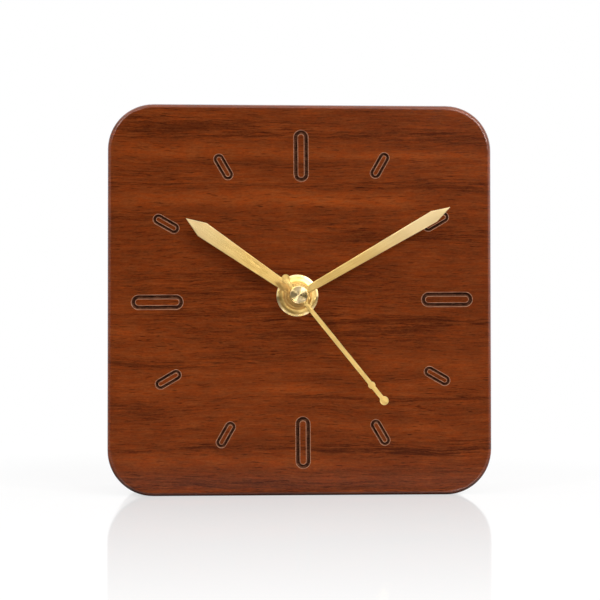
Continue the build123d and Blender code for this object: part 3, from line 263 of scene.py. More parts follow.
WARM_BANDS = (
    (-6.0, 106.0, 44.0, 2.4, 0.55),
    (34.0, 104.4, 26.0, 1.4, 0.60),
    (-42.0, 104.6, 20.0, 1.4, 0.45),
    (-10.0, 91.0, 40.0, 2.8, 0.85),
    (20.0, 89.6, 26.0, 1.8, 0.55),
    (-2.0, 78.2, 22.0, 1.8, 0.40),
    (-44.0, 70.0, 16.0, 1.6, 0.30),
    (-48.0, 44.0, 14.0, 1.6, 0.65),
    (-28.0, 37.0, 22.0, 1.8, 0.40),
    (46.0, 40.0, 20.0, 3.6, 0.50),
    (-6.0, 32.0, 40.0, 1.6, 0.45),
    (-18.0, 10.0, 36.0, 2.0, 0.55),
    (12.0, 21.0, 44.0, 1.6, 0.30),
)
print("streaks:", len(DARK_STREAKS), "dark,", len(WARM_BANDS), "warm")

# %% Each streak as a flat ellipsoid
STREAK_DEPTH = 45.0
STREAK_FADE = (1.45, 0.05)
STREAK_STRENGTH = 0.76


def add_streaks(tree, place, streaks, edge):
    """Sum flat ellipsoids: full in the middle, gone at 1.45 half sizes, and frayed by an edge noise."""
    total = 0.0
    for middle, height, half_length, half_height, strength in streaks:
        near = stretched(
            tree, place,
            lengths=(half_length * MM, STREAK_DEPTH * MM, half_height * MM),
            centre=(middle * MM, DIAL_Y, height * MM),
        )
        frayed = sums(tree, "ADD", length_of(tree, near), edge)
        total = sums(tree, "ADD", spread(tree, frayed, *STREAK_FADE, 0.0, strength * STREAK_STRENGTH), total)
    return total


# %% [markdown]
# ## The grain between the streaks
# Wood has detail at every scale, so several noises are added up: broad bands, a slow figure, fine
# streaks, fibres and specks. Two slow noises lift the grain a little first, so that no line of it
# is ruler straight. Each noise gets the length that it has on the real block.

# %% The noises of the grain
PATTERNS = {
    # length along x, y and z, and a shift that sets it apart, in metres; detail, roughness
    "wander": ((0.055, 0.050, 0.022), (0.0, 0.0, 0.0), 2.0, 0.5),
    "wave": ((0.012, 0.020, 0.006), (0.3, 0.1, 0.2), 2.0, 0.5),
    "bands": ((0.070, 0.030, 0.0060), (0.0, 0.0, 0.0), 3.0, 0.6),
    "figure": ((0.011, 0.008, 0.0042), (0.5, 0.0, 0.7), 2.0, 0.5),
    "streaks": ((0.022, 0.005, 0.00085), (0.2, 0.0, 0.4), 3.0, 0.6),
    "fibres": ((0.0060, 0.0010, 0.00034), (0.0, 0.0, 0.0), 3.0, 0.7),
    "specks": ((0.0010, 0.00045, 0.00034), (0.1, 0.2, 0.0), 2.0, 0.7),
    "hue": ((0.0050, 0.0020, 0.0009), (0.6, 0.1, 0.3), 2.0, 0.6),
    "pores": ((0.0034, 0.00024, 0.00024), (0.0, 0.0, 0.0), 1.0, 0.4),
}
# each noise counts over a reach on both sides of its middle value, and swings by an amount
GRAIN_LIFT = {"wander": (0.20, 1.1 * MM), "wave": (0.20, 0.22 * MM)}
EDGE_SWINGS = {"streaks": (0.20, 0.60), "fibres": (0.20, 0.55)}
TONE_SWINGS = {
    "bands": (0.14, 0.19),
    "streaks": (0.20, 0.27),
    "figure": (0.18, 0.16),
    "fibres": (0.22, 0.38),
    "specks": (0.22, 0.28),
}
print("noises in the wood:", len(PATTERNS))


# %% The grain from the table
def pattern(tree, place, name):
    """One noise of the table."""
    lengths, shift, detail, roughness = PATTERNS[name]
    return noise(tree, place, lengths, detail, roughness, centre=shift)


def swings(tree, noises, table):
    """Sum the swings of the noises that a table names."""
    return sums(tree, "ADD", *(swing(tree, noises[name], *amounts) for name, amounts in table.items()))


def wandering_grain(tree):
    """The place, with its height moved by the sum of two slow noises."""
    place = object_place(tree)
    lift = swings(tree, {name: pattern(tree, place, name) for name in GRAIN_LIFT}, GRAIN_LIFT)
    offset = add(tree, "ShaderNodeCombineXYZ", {"Z": lift}).outputs["Vector"]
    return add(tree, "ShaderNodeVectorMath", {0: place, 1: offset}, operation="ADD").outputs["Vector"]


# %% [markdown]
# ## The colour of the wood
# The sum of the noises picks a colour between dark and warm brown. The hue wanders a little
# between red and yellow on the way, the open pores are darkest, and painted shade darkens the
# wood that faces down, along the foot.

# %% Finish: oiled walnut
# the middle colour and the warm one each have a red and a yellow end
WOOD_DARK = rgb(79, 32, 10)
WOOD_MIDDLE = (rgb(125, 52, 15), rgb(121, 56, 21))
WOOD_WARM = (rgb(163, 71, 20), rgb(158, 77, 29))
PORE_AND_SHADE_BROWN = rgb(48, 19, 6)
HUE_STEP = (0.36, 0.64)
PORE_STEP = (0.62, 0.74)
PORE_SHARE = 0.68
UNDERSIDE_SHADE_STEP = (-0.05, -0.60)
UNDERSIDE_SHADE_SHARE = 0.80
FIBRE_SHARE = 0.35
WOOD_RELIEF = (0.02 * MM, 0.25)


def wood_tone(tree, grain, noises):
    """Bands + streaks + figure + fibres + specks - the dark streaks + the warm bands."""
    edge = swings(tree, noises, EDGE_SWINGS)
    tone = swings(tree, noises, TONE_SWINGS)
    tone = sums(tree, "SUBTRACT", tone, add_streaks(tree, grain, DARK_STREAKS, edge))
    return sums(tree, "ADD", tone, add_streaks(tree, grain, WARM_BANDS, edge))


def walnut():
    """Dark at a tone of -1, middle at 0, warm at 1; then pores, and painted shade on the underside."""
    material, tree, shader = new_finish(
        "walnut", Roughness=0.20, IOR=1.45, Specular_IOR_Level=0.47, Specular_Tint=(1.0, 0.82, 0.77, 1)
    )
    grain = wandering_grain(tree)
    noises = {name: pattern(tree, grain, name) for name in (*TONE_SWINGS, "hue", "pores")}
    tone = wood_tone(tree, grain, noises)
    yellowish = spread(tree, noises["hue"], *HUE_STEP)
    middle, light = (blend(tree, yellowish, *pair) for pair in (WOOD_MIDDLE, WOOD_WARM))
    colour = blend(tree, ramp(tree, tone, 0.0, -1.0), middle, WOOD_DARK)
    colour = blend(tree, ramp(tree, tone, 0.0, 1.0), colour, light)

    open_pore = spread(tree, noises["pores"], *PORE_STEP)
    colour = blend(tree, sums(tree, "MULTIPLY", open_pore, PORE_SHARE), colour, PORE_AND_SHADE_BROWN)
    facing = add(tree, "ShaderNodeNewGeometry", {}).outputs["Normal"]
    upwards = add(tree, "ShaderNodeSeparateXYZ", {"Vector": facing}).outputs["Z"]
    # painted shade: the wood that faces down is darkened towards the pore brown
    colour = blend(tree, spread(tree, upwards, *UNDERSIDE_SHADE_STEP, 0.0, UNDERSIDE_SHADE_SHARE), colour, PORE_AND_SHADE_BROWN)
    tree.links.new(colour, shader.inputs["Base Color"])
    height = sums(tree, "SUBTRACT", sums(tree, "MULTIPLY", noises["fibres"], FIBRE_SHARE), open_pore)
    relief(tree, shader, height, *WOOD_RELIEF)
    return material


# %% [markdown]
# ## Brass, in three finishes
# All the brass is the same metal, and what differs is how it was worked. The hands are brushed
# along their length, so their noise is stretched along each hand. Turned parts carry hair-fine
# rings from the lathe tool, far too fine for a mesh. Their shine is spread along the radius
# instead, and that is what splits the light on the cap into bright and dark fans. The nut was
# polished after turning, so its shine spreads almost evenly.

# %% Finish: brushed brass
BRASS = rgb(236, 202, 126)
BRASS_WARM = rgb(226, 182, 101)
BRASS_PALE = rgb(240, 214, 166)
DIAL_CENTRE = (AXIS_X, DIAL_Y, AXIS_Z)
BRUSH_LENGTHS = (0.00009, 0.001, 0.009)
SCRATCH_SHARE = 0.7
PALE_STEP = (16 * MM, 48 * MM)


def from_centre(tree):
    """The way from the centre of the dial to a point."""
    return stretched(tree, object_place(tree), (1, 1, 1), centre=DIAL_CENTRE)


def brushed_brass(name, bearing, paling):
    """Fine scratches along a hand's bearing, and metal that grows paler in a smooth step outwards."""
    material, tree, shader = new_finish(name, Metallic=1.0, Roughness=0.40)
    place = object_place(tree)
    turn = (0, math.radians(bearing), 0)
    scratches = noise(tree, place, BRUSH_LENGTHS, 3.0, 0.6, turn=turn, centre=DIAL_CENTRE)
    cloud = noise(tree, place, (0.006, 0.006, 0.006), 2.0)
    tint = sums(
        tree, "ADD",
        sums(tree, "MULTIPLY", scratches, SCRATCH_SHARE), sums(tree, "MULTIPLY", cloud, 1 - SCRATCH_SHARE),
    )
    metal = blend(tree, spread(tree, tint, 0.35, 0.65), BRASS_WARM, BRASS)
    outward = length_of(tree, from_centre(tree))
    metal = blend(tree, spread(tree, outward, *PALE_STEP, 0.0, paling), metal, BRASS_PALE)
    tree.links.new(metal, shader.inputs["Base Color"])
    vary_roughness(tree, shader, scratches, 0.40, 0.85, 1.20)
    relief(tree, shader, scratches, 0.05 * MM)
    return material


# %% Finish: turned brass
def turned_brass(name, roughness, grooved, colour, other):
    """Hair-fine grooves run round the axis, so the shine spreads along the radius."""
    material, tree, shader = new_finish(name, Metallic=1.0, Roughness=roughness, Anisotropic=grooved)
    flat = add(tree, "ShaderNodeVectorMath", {0: from_centre(tree), 1: (1, 0, 1)}, operation="MULTIPLY")
    radial = add(
        tree, "ShaderNodeVectorTransform", {"Vector": flat.outputs["Vector"]},
        vector_type="VECTOR", convert_from="OBJECT", convert_to="WORLD",
    )
    tree.links.new(radial.outputs["Vector"], shader.inputs["Tangent"])
    cloud = noise(tree, object_place(tree), (0.002, 0.002, 0.002))
    two_tones(tree, shader, cloud, 0.20, colour, other)
    vary_roughness(tree, shader, cloud, roughness, 0.80, 1.25)
    return material


# %% [markdown]
# ## Plastics, rubber, steel and the small electric parts
# Most of these are hidden until the cover comes off, but each still has its own grain: moulded
# plastic has a fine spark-eroded texture, rolled steel has faint lines, and laminate a coarser texture.

# %% Finishes: moulded plastic and rolled metal
def moulded(name, colour, other, roughness, grain=0.00035, depth=0.02):
    """Moulded plastic: a fine even texture, and a faint cloud in its colour."""
    material, tree, shader = new_finish(name, Roughness=roughness, IOR=1.5)
    place = object_place(tree)
    cloud = noise(tree, place, (0.012, 0.012, 0.012))
    texture = noise(tree, place, (grain, grain, grain), 2.0, 0.5)
    two_tones(tree, shader, cloud, 0.15, colour, other)
    vary_roughness(tree, shader, texture, roughness, 0.90, 1.12)
    relief(tree, shader, texture, depth * MM, 0.5)
    return material


def metal_sheet(name, colour, other, roughness, along=(0.004, 0.0002, 0.0002)):
    """Rolled or drawn metal: faint lines along one axis."""
    material, tree, shader = new_finish(name, Metallic=1.0, Roughness=roughness)
    lines = noise(tree, object_place(tree), along, 3.0, 0.6)
    two_tones(tree, shader, lines, 0.15, colour, other)
    vary_roughness(tree, shader, lines, roughness, 0.85, 1.20)
    return material


# %% [markdown]
# ## The battery's sleeve
# A real cell has a printed sleeve. This one is plain grey, with a pale band at its button end and
# nothing written on it. The band is set by the distance along X.

# %% Finish: battery sleeve
SLEEVE_GREYS = (rgb(80, 85, 94), rgb(90, 95, 104))
SLEEVE_BAND = rgb(196, 197, 198)
BAND_SHARE = 0.18
SEAM_BLUR = 0.1 * MM


def sleeve():
    """A grey sleeve with a pale band at one end: the colour steps at one place along X."""
    material, tree, shader = new_finish("battery_sleeve", Roughness=0.28, IOR=1.5, Coat_Weight=0.3)
    low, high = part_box("battery_jacket")
    place = object_place(tree)
    along = add(tree, "ShaderNodeSeparateXYZ", {"Vector": place}).outputs["X"]
    seam = high.x - (high.x - low.x) * BAND_SHARE
    band = spread(tree, along, seam - SEAM_BLUR, seam + SEAM_BLUR)
    cloud = noise(tree, place, (0.004, 0.002, 0.002), 2.0)
    body = blend(tree, spread(tree, cloud, 0.3, 0.7), *SLEEVE_GREYS)
    tree.links.new(blend(tree, band, body, SLEEVE_BAND), shader.inputs["Base Color"])
    return material


# %% [markdown]
# ## A lathe made of arrays
# A turned part is a profile of radius and height spun about an axis. The profile is one array
# and the angles are another, and their product is the whole surface at once. The profile is
# closed, so the surface has no open seam.

# %% A mesh from a grid, finished as a piece
MERGE_GAP = 1e-7
FLAT_EDGE = 1e-8
SHARP_ANGLE = math.radians(38)


def mesh_from_grid(name, points):
    """Join a grid of points that closes on itself both ways into one mesh of squares."""
    rows, columns = points.shape[:2]
    index = np.arange(rows * columns).reshape(rows, columns)
    nearby = np.roll(index, -1, axis=0)
    squares = np.stack(
        (index, np.roll(index, -1, axis=1), np.roll(nearby, -1, axis=1), nearby), axis=-1
    ).reshape(-1, 4)
    mesh = bpy.data.meshes.new(name)
    mesh.from_pydata(points.reshape(-1, 3).tolist(), [], squares.tolist())
    return mesh


def finish_piece(name, mesh, material, body, slot, *replaced):
    """Merge what touches, point the faces outwards, and hang the piece on its body."""
    work = bmesh.new()
    work.from_mesh(mesh)
    bmesh.ops.remove_doubles(work, verts=work.verts, dist=MERGE_GAP)
    bmesh.ops.dissolve_degenerate(work, edges=work.edges, dist=FLAT_EDGE)
    bmesh.ops.recalc_face_normals(work, faces=work.faces)
    work.to_mesh(mesh)
    work.free()
    mesh.shade_smooth()
    mesh.set_sharp_from_angle(angle=SHARP_ANGLE)
    mesh.materials.append(material)
    piece = bpy.data.objects.new(name, mesh)
    bpy.context.scene.collection.objects.link(piece)
    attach(piece, body)
    if replaced:
        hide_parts(*replaced)
    print(name, "has", len(mesh.polygons), "faces")
    return piece


# %% The lathe
def spun(name, profile, steps=144):
    """Spin a closed profile of radius and height above the dial about the hands' axis."""
    radius, height = np.array(profile).T * MM
    angle = np.linspace(0, 2 * np.pi, steps, endpoint=False)[:, None]
    points = np.stack((
        AXIS_X + radius * np.sin(angle),
        np.broadcast_to(DIAL_Y - height, (steps, len(height))),
        AXIS_Z + radius * np.cos(angle),
    ), axis=-1)
    return mesh_from_grid(name, points)


def arc(centre, radius, start, end, count):
    """Points along part of a circle, from one angle to another, in degrees."""
    angle = np.radians(np.linspace(start, end, count))
    return np.stack((centre[0] + radius * np.cos(angle), centre[1] + radius * np.sin(angle)), axis=-1)


# %% [markdown]
# ## Washer, nut and cap
# The washer is flat, and the rim that shows outside the nut slopes away in a soft cone. The nut
# has a low flange, a steep rounded step and a crown with a hole. The cap is a short button with
# a rounded rim. Its face is a very low cone and not a plane, as a lathe tool leaves it, so that
# the fans of light meet in its middle. All the sizes below are in millimetres.

# %% Turn the brass washer
THREAD_DIAMETER = 8.0
BUSH_FLANGE = 11.0
WASHER_PLAY = 0.1
NUT_COVER = 0.05
CONE_DROP = 0.40
CONE_POWER = 1.6


def profile_size(node):
    """Radius and the two heights above the dial of a round node on the hands' axis, in mm."""
    low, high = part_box(node)
    return (high.x - low.x) / 2 / MM, (DIAL_Y - high.y) / MM, (DIAL_Y - low.y) / MM


def washer_profile():
    """A flat ring; its rim drops outside the nut by the distance to the power of 1.6."""
    radius, back, front = profile_size("brass_washer")
    bore = profile_size("threaded_bush")[0] * THREAD_DIAMETER / BUSH_FLANGE + WASHER_PLAY
    slope = np.linspace(0, 1, 12)
    crest = profile_size("dial_nut")[0] - NUT_COVER
    height = front - CONE_DROP * (1 - slope) ** CONE_POWER
    cone = np.stack((radius - (radius - crest) * slope, height), axis=-1)
    return np.vstack(([(bore, back), (radius, back)], cone, [(bore, front)]))


# %% Turn the nut
NUT_HOLE = 2.95
NUT_INSIDE = 4.05
CROWN_THICKNESS = 1.0
FLANGE_HEIGHT = 0.72
FLANGE_ROUND = 0.10
FLANGE_FLAT = 0.16
FILLET_RADIUS, FILLET_HEIGHT = 4.62, 0.30
STEP_RADIUS, STEP_RUN = 4.60, 0.95
STEP_HEIGHT, STEP_RISE = 0.31, 1.19
CROWN_RADIUS, CROWN_HEIGHT = 3.60, 1.50


def nut_profile():
    """A flange, a step of 3 t squared - 2 t cubed, and a crown that rises as a quarter of a sine."""
    radius, back, front = profile_size("dial_nut")
    flange = back + FLANGE_HEIGHT
    step = np.linspace(0, 1, 28)
    climb = step ** 2 * (3 - 2 * step)
    rise = (front - flange - CROWN_HEIGHT) * np.sin(step * np.pi / 2)
    return np.vstack((
        [(NUT_INSIDE, back), (radius, back)],
        arc((radius - FLANGE_ROUND, flange - FLANGE_ROUND), FLANGE_ROUND, 0, 72, 8),
        [(radius - FLANGE_FLAT, flange), (FILLET_RADIUS, flange + FILLET_HEIGHT)],
        np.stack((STEP_RADIUS - STEP_RUN * step, flange + STEP_HEIGHT + STEP_RISE * climb), axis=-1),
        np.stack((CROWN_RADIUS - (CROWN_RADIUS - NUT_HOLE) * step, flange + CROWN_HEIGHT + rise), axis=-1),
        [(NUT_HOLE, front - CROWN_THICKNESS), (NUT_INSIDE, front - CROWN_THICKNESS)],
    ))


# %% Turn the second hand's cap
CAP_RIM = 0.22
CAP_CONE = 0.05
CAP_HOLE = 0.52
CAP_HOLE_DEPTH = 0.35
CAP_FACE = ((0.6, 0.66), (0.3, 0.33), (0.0, 0.0))


def cap_profile():
    """A button whose rim is a quarter circle and whose face rises in a straight, very low cone."""
    radius, back, front = profile_size("second_hand_cap")
    floor = back + CAP_HOLE_DEPTH
    return np.vstack((
        [(0.0, floor), (CAP_HOLE, floor), (CAP_HOLE, back), (radius, back)],
        arc((radius - CAP_RIM, front - CAP_RIM - CAP_CONE), CAP_RIM, 0, 87, 10),
        [(radius * out, front - CAP_CONE * drop) for out, drop in CAP_FACE],
    ))


# %% [markdown]
# ## The carved marks
# Each mark is a groove round an island of wood, cut by a small round cutter that scorched the
# wood and left a slightly raised lip, whose pale colour is partly a painted highlight. The block
# already has the cut. A thin lining gives it the round floor and the lip: one profile across the
# groove is carried round a racetrack path.
# The long marks stand on a smaller ring than the short ones, and each mark sits a few tenths of
# a millimetre off its place, as measured in the photograph, because the cutting was not exact.

# %% Where the marks stand, in mm and degrees
RING_SHIFT = (0.8, -0.15)
RING_TURN = -0.4
LONG_MARK = {"ring": 43.9, "length": 16.0, "width": 4.6, "groove": 1.4}
SHORT_MARK = {"ring": 47.6, "length": 8.85, "width": 3.4, "groove": 1.15}
MARK_SLIPS = (
    (-0.35, 0.43), (0.12, 0.08), (-0.09, 0.12), (0.46, -0.08), (-0.15, 0.17), (-0.40, 0.43),
    (-0.40, 0.25), (-0.20, 0.25), (-0.21, -0.17), (-0.74, -0.35), (-0.57, -0.20), (-0.41, -0.21),
)
print("marks:", len(MARK_SLIPS))

# %% The lining of a groove
LINING_DEPTH = 0.72
BOWL_POWER = 2.2
LIP_WIDTH = 0.15
LIP_HEIGHT = 0.04
EDGE_COVER = 0.03
WALL_SINK = 0.04
PROUD = 0.012
LINING = 0.05


def groove_profile(groove, count=36):
    """Across: 1 - distance to the power of 2.2 for the floor, half a sine for each lip; then back below."""
    half = groove / 2
    across = np.linspace(-1, 1, count) * (half + EDGE_COVER)
    bed = half - LIP_WIDTH
    beyond = np.clip((np.abs(across) - bed) / (LIP_WIDTH + EDGE_COVER), 0, 1)
    bowl = 1 - np.clip(np.abs(across) / bed, 0, 1) ** BOWL_POWER
    lip = LIP_HEIGHT * np.sin(beyond * np.pi)
    height = lip - bowl * LINING_DEPTH - WALL_SINK * (1 - beyond) + PROUD
    top = np.stack((across, height), axis=-1)
    under = top[::-1] - (0, LINING)
    return np.vstack((top, under))


def racetrack(length, radius, straight_steps=16, bend_steps=20):
    """Two half circles joined by straight runs: their centre points, and the directions outwards."""
    run = length / 2 - radius
    bend = np.linspace(0, np.pi, bend_steps, endpoint=False)
    side = np.linspace(run, -run, straight_steps, endpoint=False)
    top = np.stack((np.cos(bend), np.sin(bend)), axis=-1)
    left = np.broadcast_to((-1.0, 0.0), (straight_steps, 2))
    outward = np.vstack((top, left, -top, -left))
    centre = np.concatenate((np.full(bend_steps, run), side, np.full(bend_steps, -run), -side))
    return np.stack((np.zeros_like(centre), centre), axis=-1), outward


# %% Carry the lining round a mark
def marker_lining(hour, mark, material):
    """Carry the groove's profile round the racetrack and turn it to its hour."""
    profile = groove_profile(mark["groove"])
    radius = (mark["width"] - mark["groove"]) / 2
    centre, outward = racetrack(mark["length"] - mark["groove"], radius)
    flat = centre[:, None] + outward[:, None] * (radius + profile[None, :, :1])
    flat = flat + (0.0, mark["ring"])
    right, up = np.add(RING_SHIFT, MARK_SLIPS[hour])
    turn = math.radians(hour * 30 + RING_TURN)
    x = flat[..., 0] * math.cos(turn) + flat[..., 1] * math.sin(turn) + right
    z = flat[..., 1] * math.cos(turn) - flat[..., 0] * math.sin(turn) + up
    y = np.broadcast_to(-profile[None, :, 1], x.shape)
    middle_z = (block_low.z + block_high.z) / 2
    points = np.stack((x * MM, y * MM + DIAL_Y, z * MM + middle_z), axis=-1)
    name = f"carved_mark_{hour or 12}"
    return finish_piece(name, mesh_from_grid(name, points), material, "case", "walnut")


# %% [markdown]
# ## Scorched wood, with painted shade and a painted highlight
# A hot cutter burns the wood it rubs, and the soot varies in slow patches. On top, painted shade
# makes the walls that face down and left, away from the lamps, look black, and the others stay
# brown. The raised lip is painted pale, partly as a painted highlight along its edge.

# %% Finish: scorched wood, with painted shade and a painted highlight
LIP_HIGHLIGHT_BROWNS = (rgb(152, 98, 70), rgb(200, 148, 114))
CUT_BROWNS = (rgb(84, 46, 30), rgb(122, 78, 54))
SOOT_AND_SHADE_BLACKS = (rgb(38, 17, 8), rgb(84, 46, 28))
# the way away from the lamps: walls that face it get painted shade
SHADE_WAY = (-0.55, 0.0, -0.83)
SHADE_STEP = (-0.70, -0.10)
SOOT_PATCHES = (0.38, 0.62, -0.55, 0.45)
SUNK_STEP = (DIAL_Y + 0.02 * MM, DIAL_Y + 0.16 * MM)


def scorched_and_shaded_wood():
    """Pale at the lip, partly a painted highlight, brown in the cut, and painted shade blackest on the walls
    that face down and left.
    """
    material, tree, shader = new_finish("scorched_and_shaded_wood", Roughness=0.55, IOR=1.45, Specular_IOR_Level=0.10)
    place = object_place(tree)
    fibres = noise(tree, place, (0.003, 0.0006, 0.0002), 3.0, 0.6)
    patches = noise(tree, place, (0.0016, 0.0016, 0.0010), 3.0, 0.6)
    facing = add(tree, "ShaderNodeNewGeometry", {}).outputs["Normal"]
    # painted shade: the more a wall faces down and left, away from the lamps, the blacker it is painted
    shade_facing = add(
        tree, "ShaderNodeVectorMath", {0: facing, 1: SHADE_WAY}, operation="DOT_PRODUCT"
    ).outputs["Value"]
    uneven = spread(tree, patches, *SOOT_PATCHES)
    burnt_and_shaded = sums(tree, "ADD", spread(tree, shade_facing, *SHADE_STEP), uneven)
    broad = spread(tree, fibres, 0.35, 0.65)
    black = blend(tree, spread(tree, fibres, 0.40, 0.60), *SOOT_AND_SHADE_BLACKS)
    inside = blend(tree, burnt_and_shaded, blend(tree, broad, *CUT_BROWNS), black)
    depth = add(tree, "ShaderNodeSeparateXYZ", {"Vector": place}).outputs["Y"]
    # the pale lip colour is partly a painted highlight
    colour = blend(tree, spread(tree, depth, *SUNK_STEP), blend(tree, broad, *LIP_HIGHLIGHT_BROWNS), inside)
    tree.links.new(colour, shader.inputs["Base Color"])
    relief(tree, shader, fibres, 0.04 * MM, 0.5)
    return material


# %% [markdown]
# ## Make the small pieces
# The three turned parts take the place of the plain solids that they refine. The linings add to
# the block and replace nothing.

# %% Line the marks
scorched = scorched_and_shaded_wood()
for hour in range(12):
    marker_lining(hour, SHORT_MARK if hour % 3 else LONG_MARK, scorched)

# %% Turn the brass parts
polished = turned_brass("polished_brass", 0.40, 0.3, BRASS_WARM, BRASS)
satin = turned_brass("turned_brass", 0.30, 1.0, BRASS, BRASS_PALE)
TURNED_PARTS = (
    # piece, profile, finish, body, slot, and the node that it replaces
    ("turned_washer", washer_profile(), satin, "case", "turned_brass", "brass_washer"),
    ("turned_nut", nut_profile(), polished, "case", "polished_brass", "dial_nut"),
    ("turned_cap", cap_profile(), satin, "seconds", "turned_brass", "second_hand_cap"),
)
for name, profile, *rest in TURNED_PARTS:
    finish_piece(name, spun(name, profile), *rest)

# %% [markdown]
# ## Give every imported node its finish
# The record says which slot each node uses. Tables give each slot two close colours and a
# roughness. The hands get their own brushed brass, because each is brushed along its own length.

# %% Make the finishes
MOULDED = {
    # two colours and a roughness; where they differ, the grain in metres and its depth in mm
    "gasket_rubber": ((30, 30, 32), (38, 38, 40), 0.75),
    "black_plastic": ((24, 24, 26), (31, 31, 33), 0.48),
    "knob_plastic": ((30, 30, 32), (36, 36, 38), 0.40),
    "white_plastic": ((226, 224, 216), (234, 232, 226), 0.42),
    "gear_plastic": ((222, 218, 200), (232, 230, 216), 0.36, 0.00035, 0.008),
    "magnet_ferrite": ((52, 52, 55), (66, 66, 70), 0.50),
    "board_laminate": ((34, 92, 58), (42, 106, 68), 0.40, 0.0006),
    "chip_resin": ((16, 16, 17), (24, 24, 25), 0.18),
}
ROLLED = {
    # two colours and a roughness; where they differ, the lengths of its lines in metres
    "spring_steel": ((176, 174, 168), (196, 196, 192), 0.26),
    "bright_steel": ((188, 190, 192), (208, 210, 212), 0.20),
    "stator_iron": ((150, 150, 148), (168, 168, 166), 0.38),
    "copper_wire": ((168, 84, 44), (204, 112, 62), 0.30, (0.00012, 0.01, 0.01)),
    "contact_steel": ((196, 194, 188), (214, 212, 206), 0.24, (0.0002, 0.0002, 0.004)),
    "battery_steel": ((190, 190, 190), (206, 206, 206), 0.22),
}
FINISHES = {"walnut": walnut(), "turned_brass": satin, "polished_brass": polished, "battery_sleeve": sleeve()}
for make, table in ((moulded, MOULDED), (metal_sheet, ROLLED)):
    for slot, (colour, other, *rest) in table.items():
        FINISHES[slot] = make(slot, rgb(*colour), rgb(*other), *rest)

# %% Assign the finishes
HAND_BRUSHING = {"hour_hand": (304.4, 0.75), "minute_hand": (59.9, 0.75), "second_hand": (141.0, 0.0)}
for entry in frame["record"]["subparts"]:
    name = entry["node"]
    if name in HAND_BRUSHING:
        finish = brushed_brass(name.replace("hand", "brass"), *HAND_BRUSHING[name])
    else:
        finish = FINISHES[entry["material_slot"]]
    mesh = frame["nodes"][name].data
    mesh.materials.clear()
    mesh.materials.append(finish)

# %% [markdown]
# ## A white table
# The clock stands on a glossy white table. It mirrors a little of the clock near its foot and
# less further out, where it fades into the white of the room. The polished dial would mirror the
# table as a pale veil on its lower half, which the photograph doesn't show. So, for mirrors only,
# the table is dark at the foot and far in front, and stays bright between for the brass.

# %% The table's parts
MIRROR_FADE = (0.265, 0.015)
MIRROR_SHARES = (0.02, 0.31)
TABLE_WHITE = 0.80
BOUNCE_STEP = (-0.120, -0.030)
BOUNCE_SHARES = (0.45, 0.04)
FOOT_START, FOOT_END = (0.002, -0.001), (-0.050, -0.032)
FRONT_START = (-0.072, -0.105)


def mirror_share(tree, forward):
    """The share of mirror falls in a straight line with the distance before or behind the clock."""
    return ramp(tree, sums(tree, "ABSOLUTE", forward), *MIRROR_FADE, *MIRROR_SHARES)


def white_paint(tree, forward, rays):
    """White to look at, and darker as light on the clock, most of all near its foot."""
    bounce = spread(tree, forward, *BOUNCE_STEP, *BOUNCE_SHARES)
    whiteness = ramp(tree, rays["Is Diffuse Ray"], 0.0, 1.0, TABLE_WHITE, bounce)
    return add(tree, "ShaderNodeBsdfDiffuse", {"Color": whiteness}).outputs[0]


def dark_in_mirrors(tree, forward, rays):
    """One for a mirror's ray at the foot or far in front, and nothing elsewhere."""
    # painted shade: mirrors see the table dark at the foot, standing in for the clock's contact shadow
    foot = sums(tree, "MULTIPLY", spread(tree, forward, *FOOT_START), spread(tree, forward, *FOOT_END))
    front = sums(tree, "MAXIMUM", foot, spread(tree, forward, *FRONT_START))
    return sums(tree, "MULTIPLY", front, rays["Is Glossy Ray"])


# %% The table's glow
GLOW_CENTRE = (0, -0.05, 0)
GLOW_STEP = (0.12, 0.34)
GLOW_NEAR = 0.65
TABLE_GLOW = 1.28
DARK_STRENGTH = 0.06


def white_glow(tree, place, rays, dark):
    """A plain white glow, and its share: part of the paint near the clock, and all of it far away."""
    far = length_of(tree, stretched(tree, place, (1.0, 1.0, 1.0), centre=GLOW_CENTRE))
    haze = spread(tree, far, *GLOW_STEP, GLOW_NEAR, 1.0)
    strength = ramp(tree, haze, GLOW_NEAR, 1.0, TABLE_GLOW, 1.0)
    strength = sums(tree, "MULTIPLY", strength, ramp(tree, dark, 0.0, 1.0, 1.0, DARK_STRENGTH))
    glow = add(tree, "ShaderNodeEmission", {"Color": (1.0, 1.0, 1.0, 1), "Strength": strength}).outputs[0]
    seen = sums(tree, "MAXIMUM", rays["Is Camera Ray"], rays["Is Glossy Ray"])
    return glow, sums(tree, "MULTIPLY", seen, sums(tree, "MAXIMUM", haze, dark))


# %% The table
TABLE_HALF = 3.0
TABLE_ROUGHNESS = 0.06


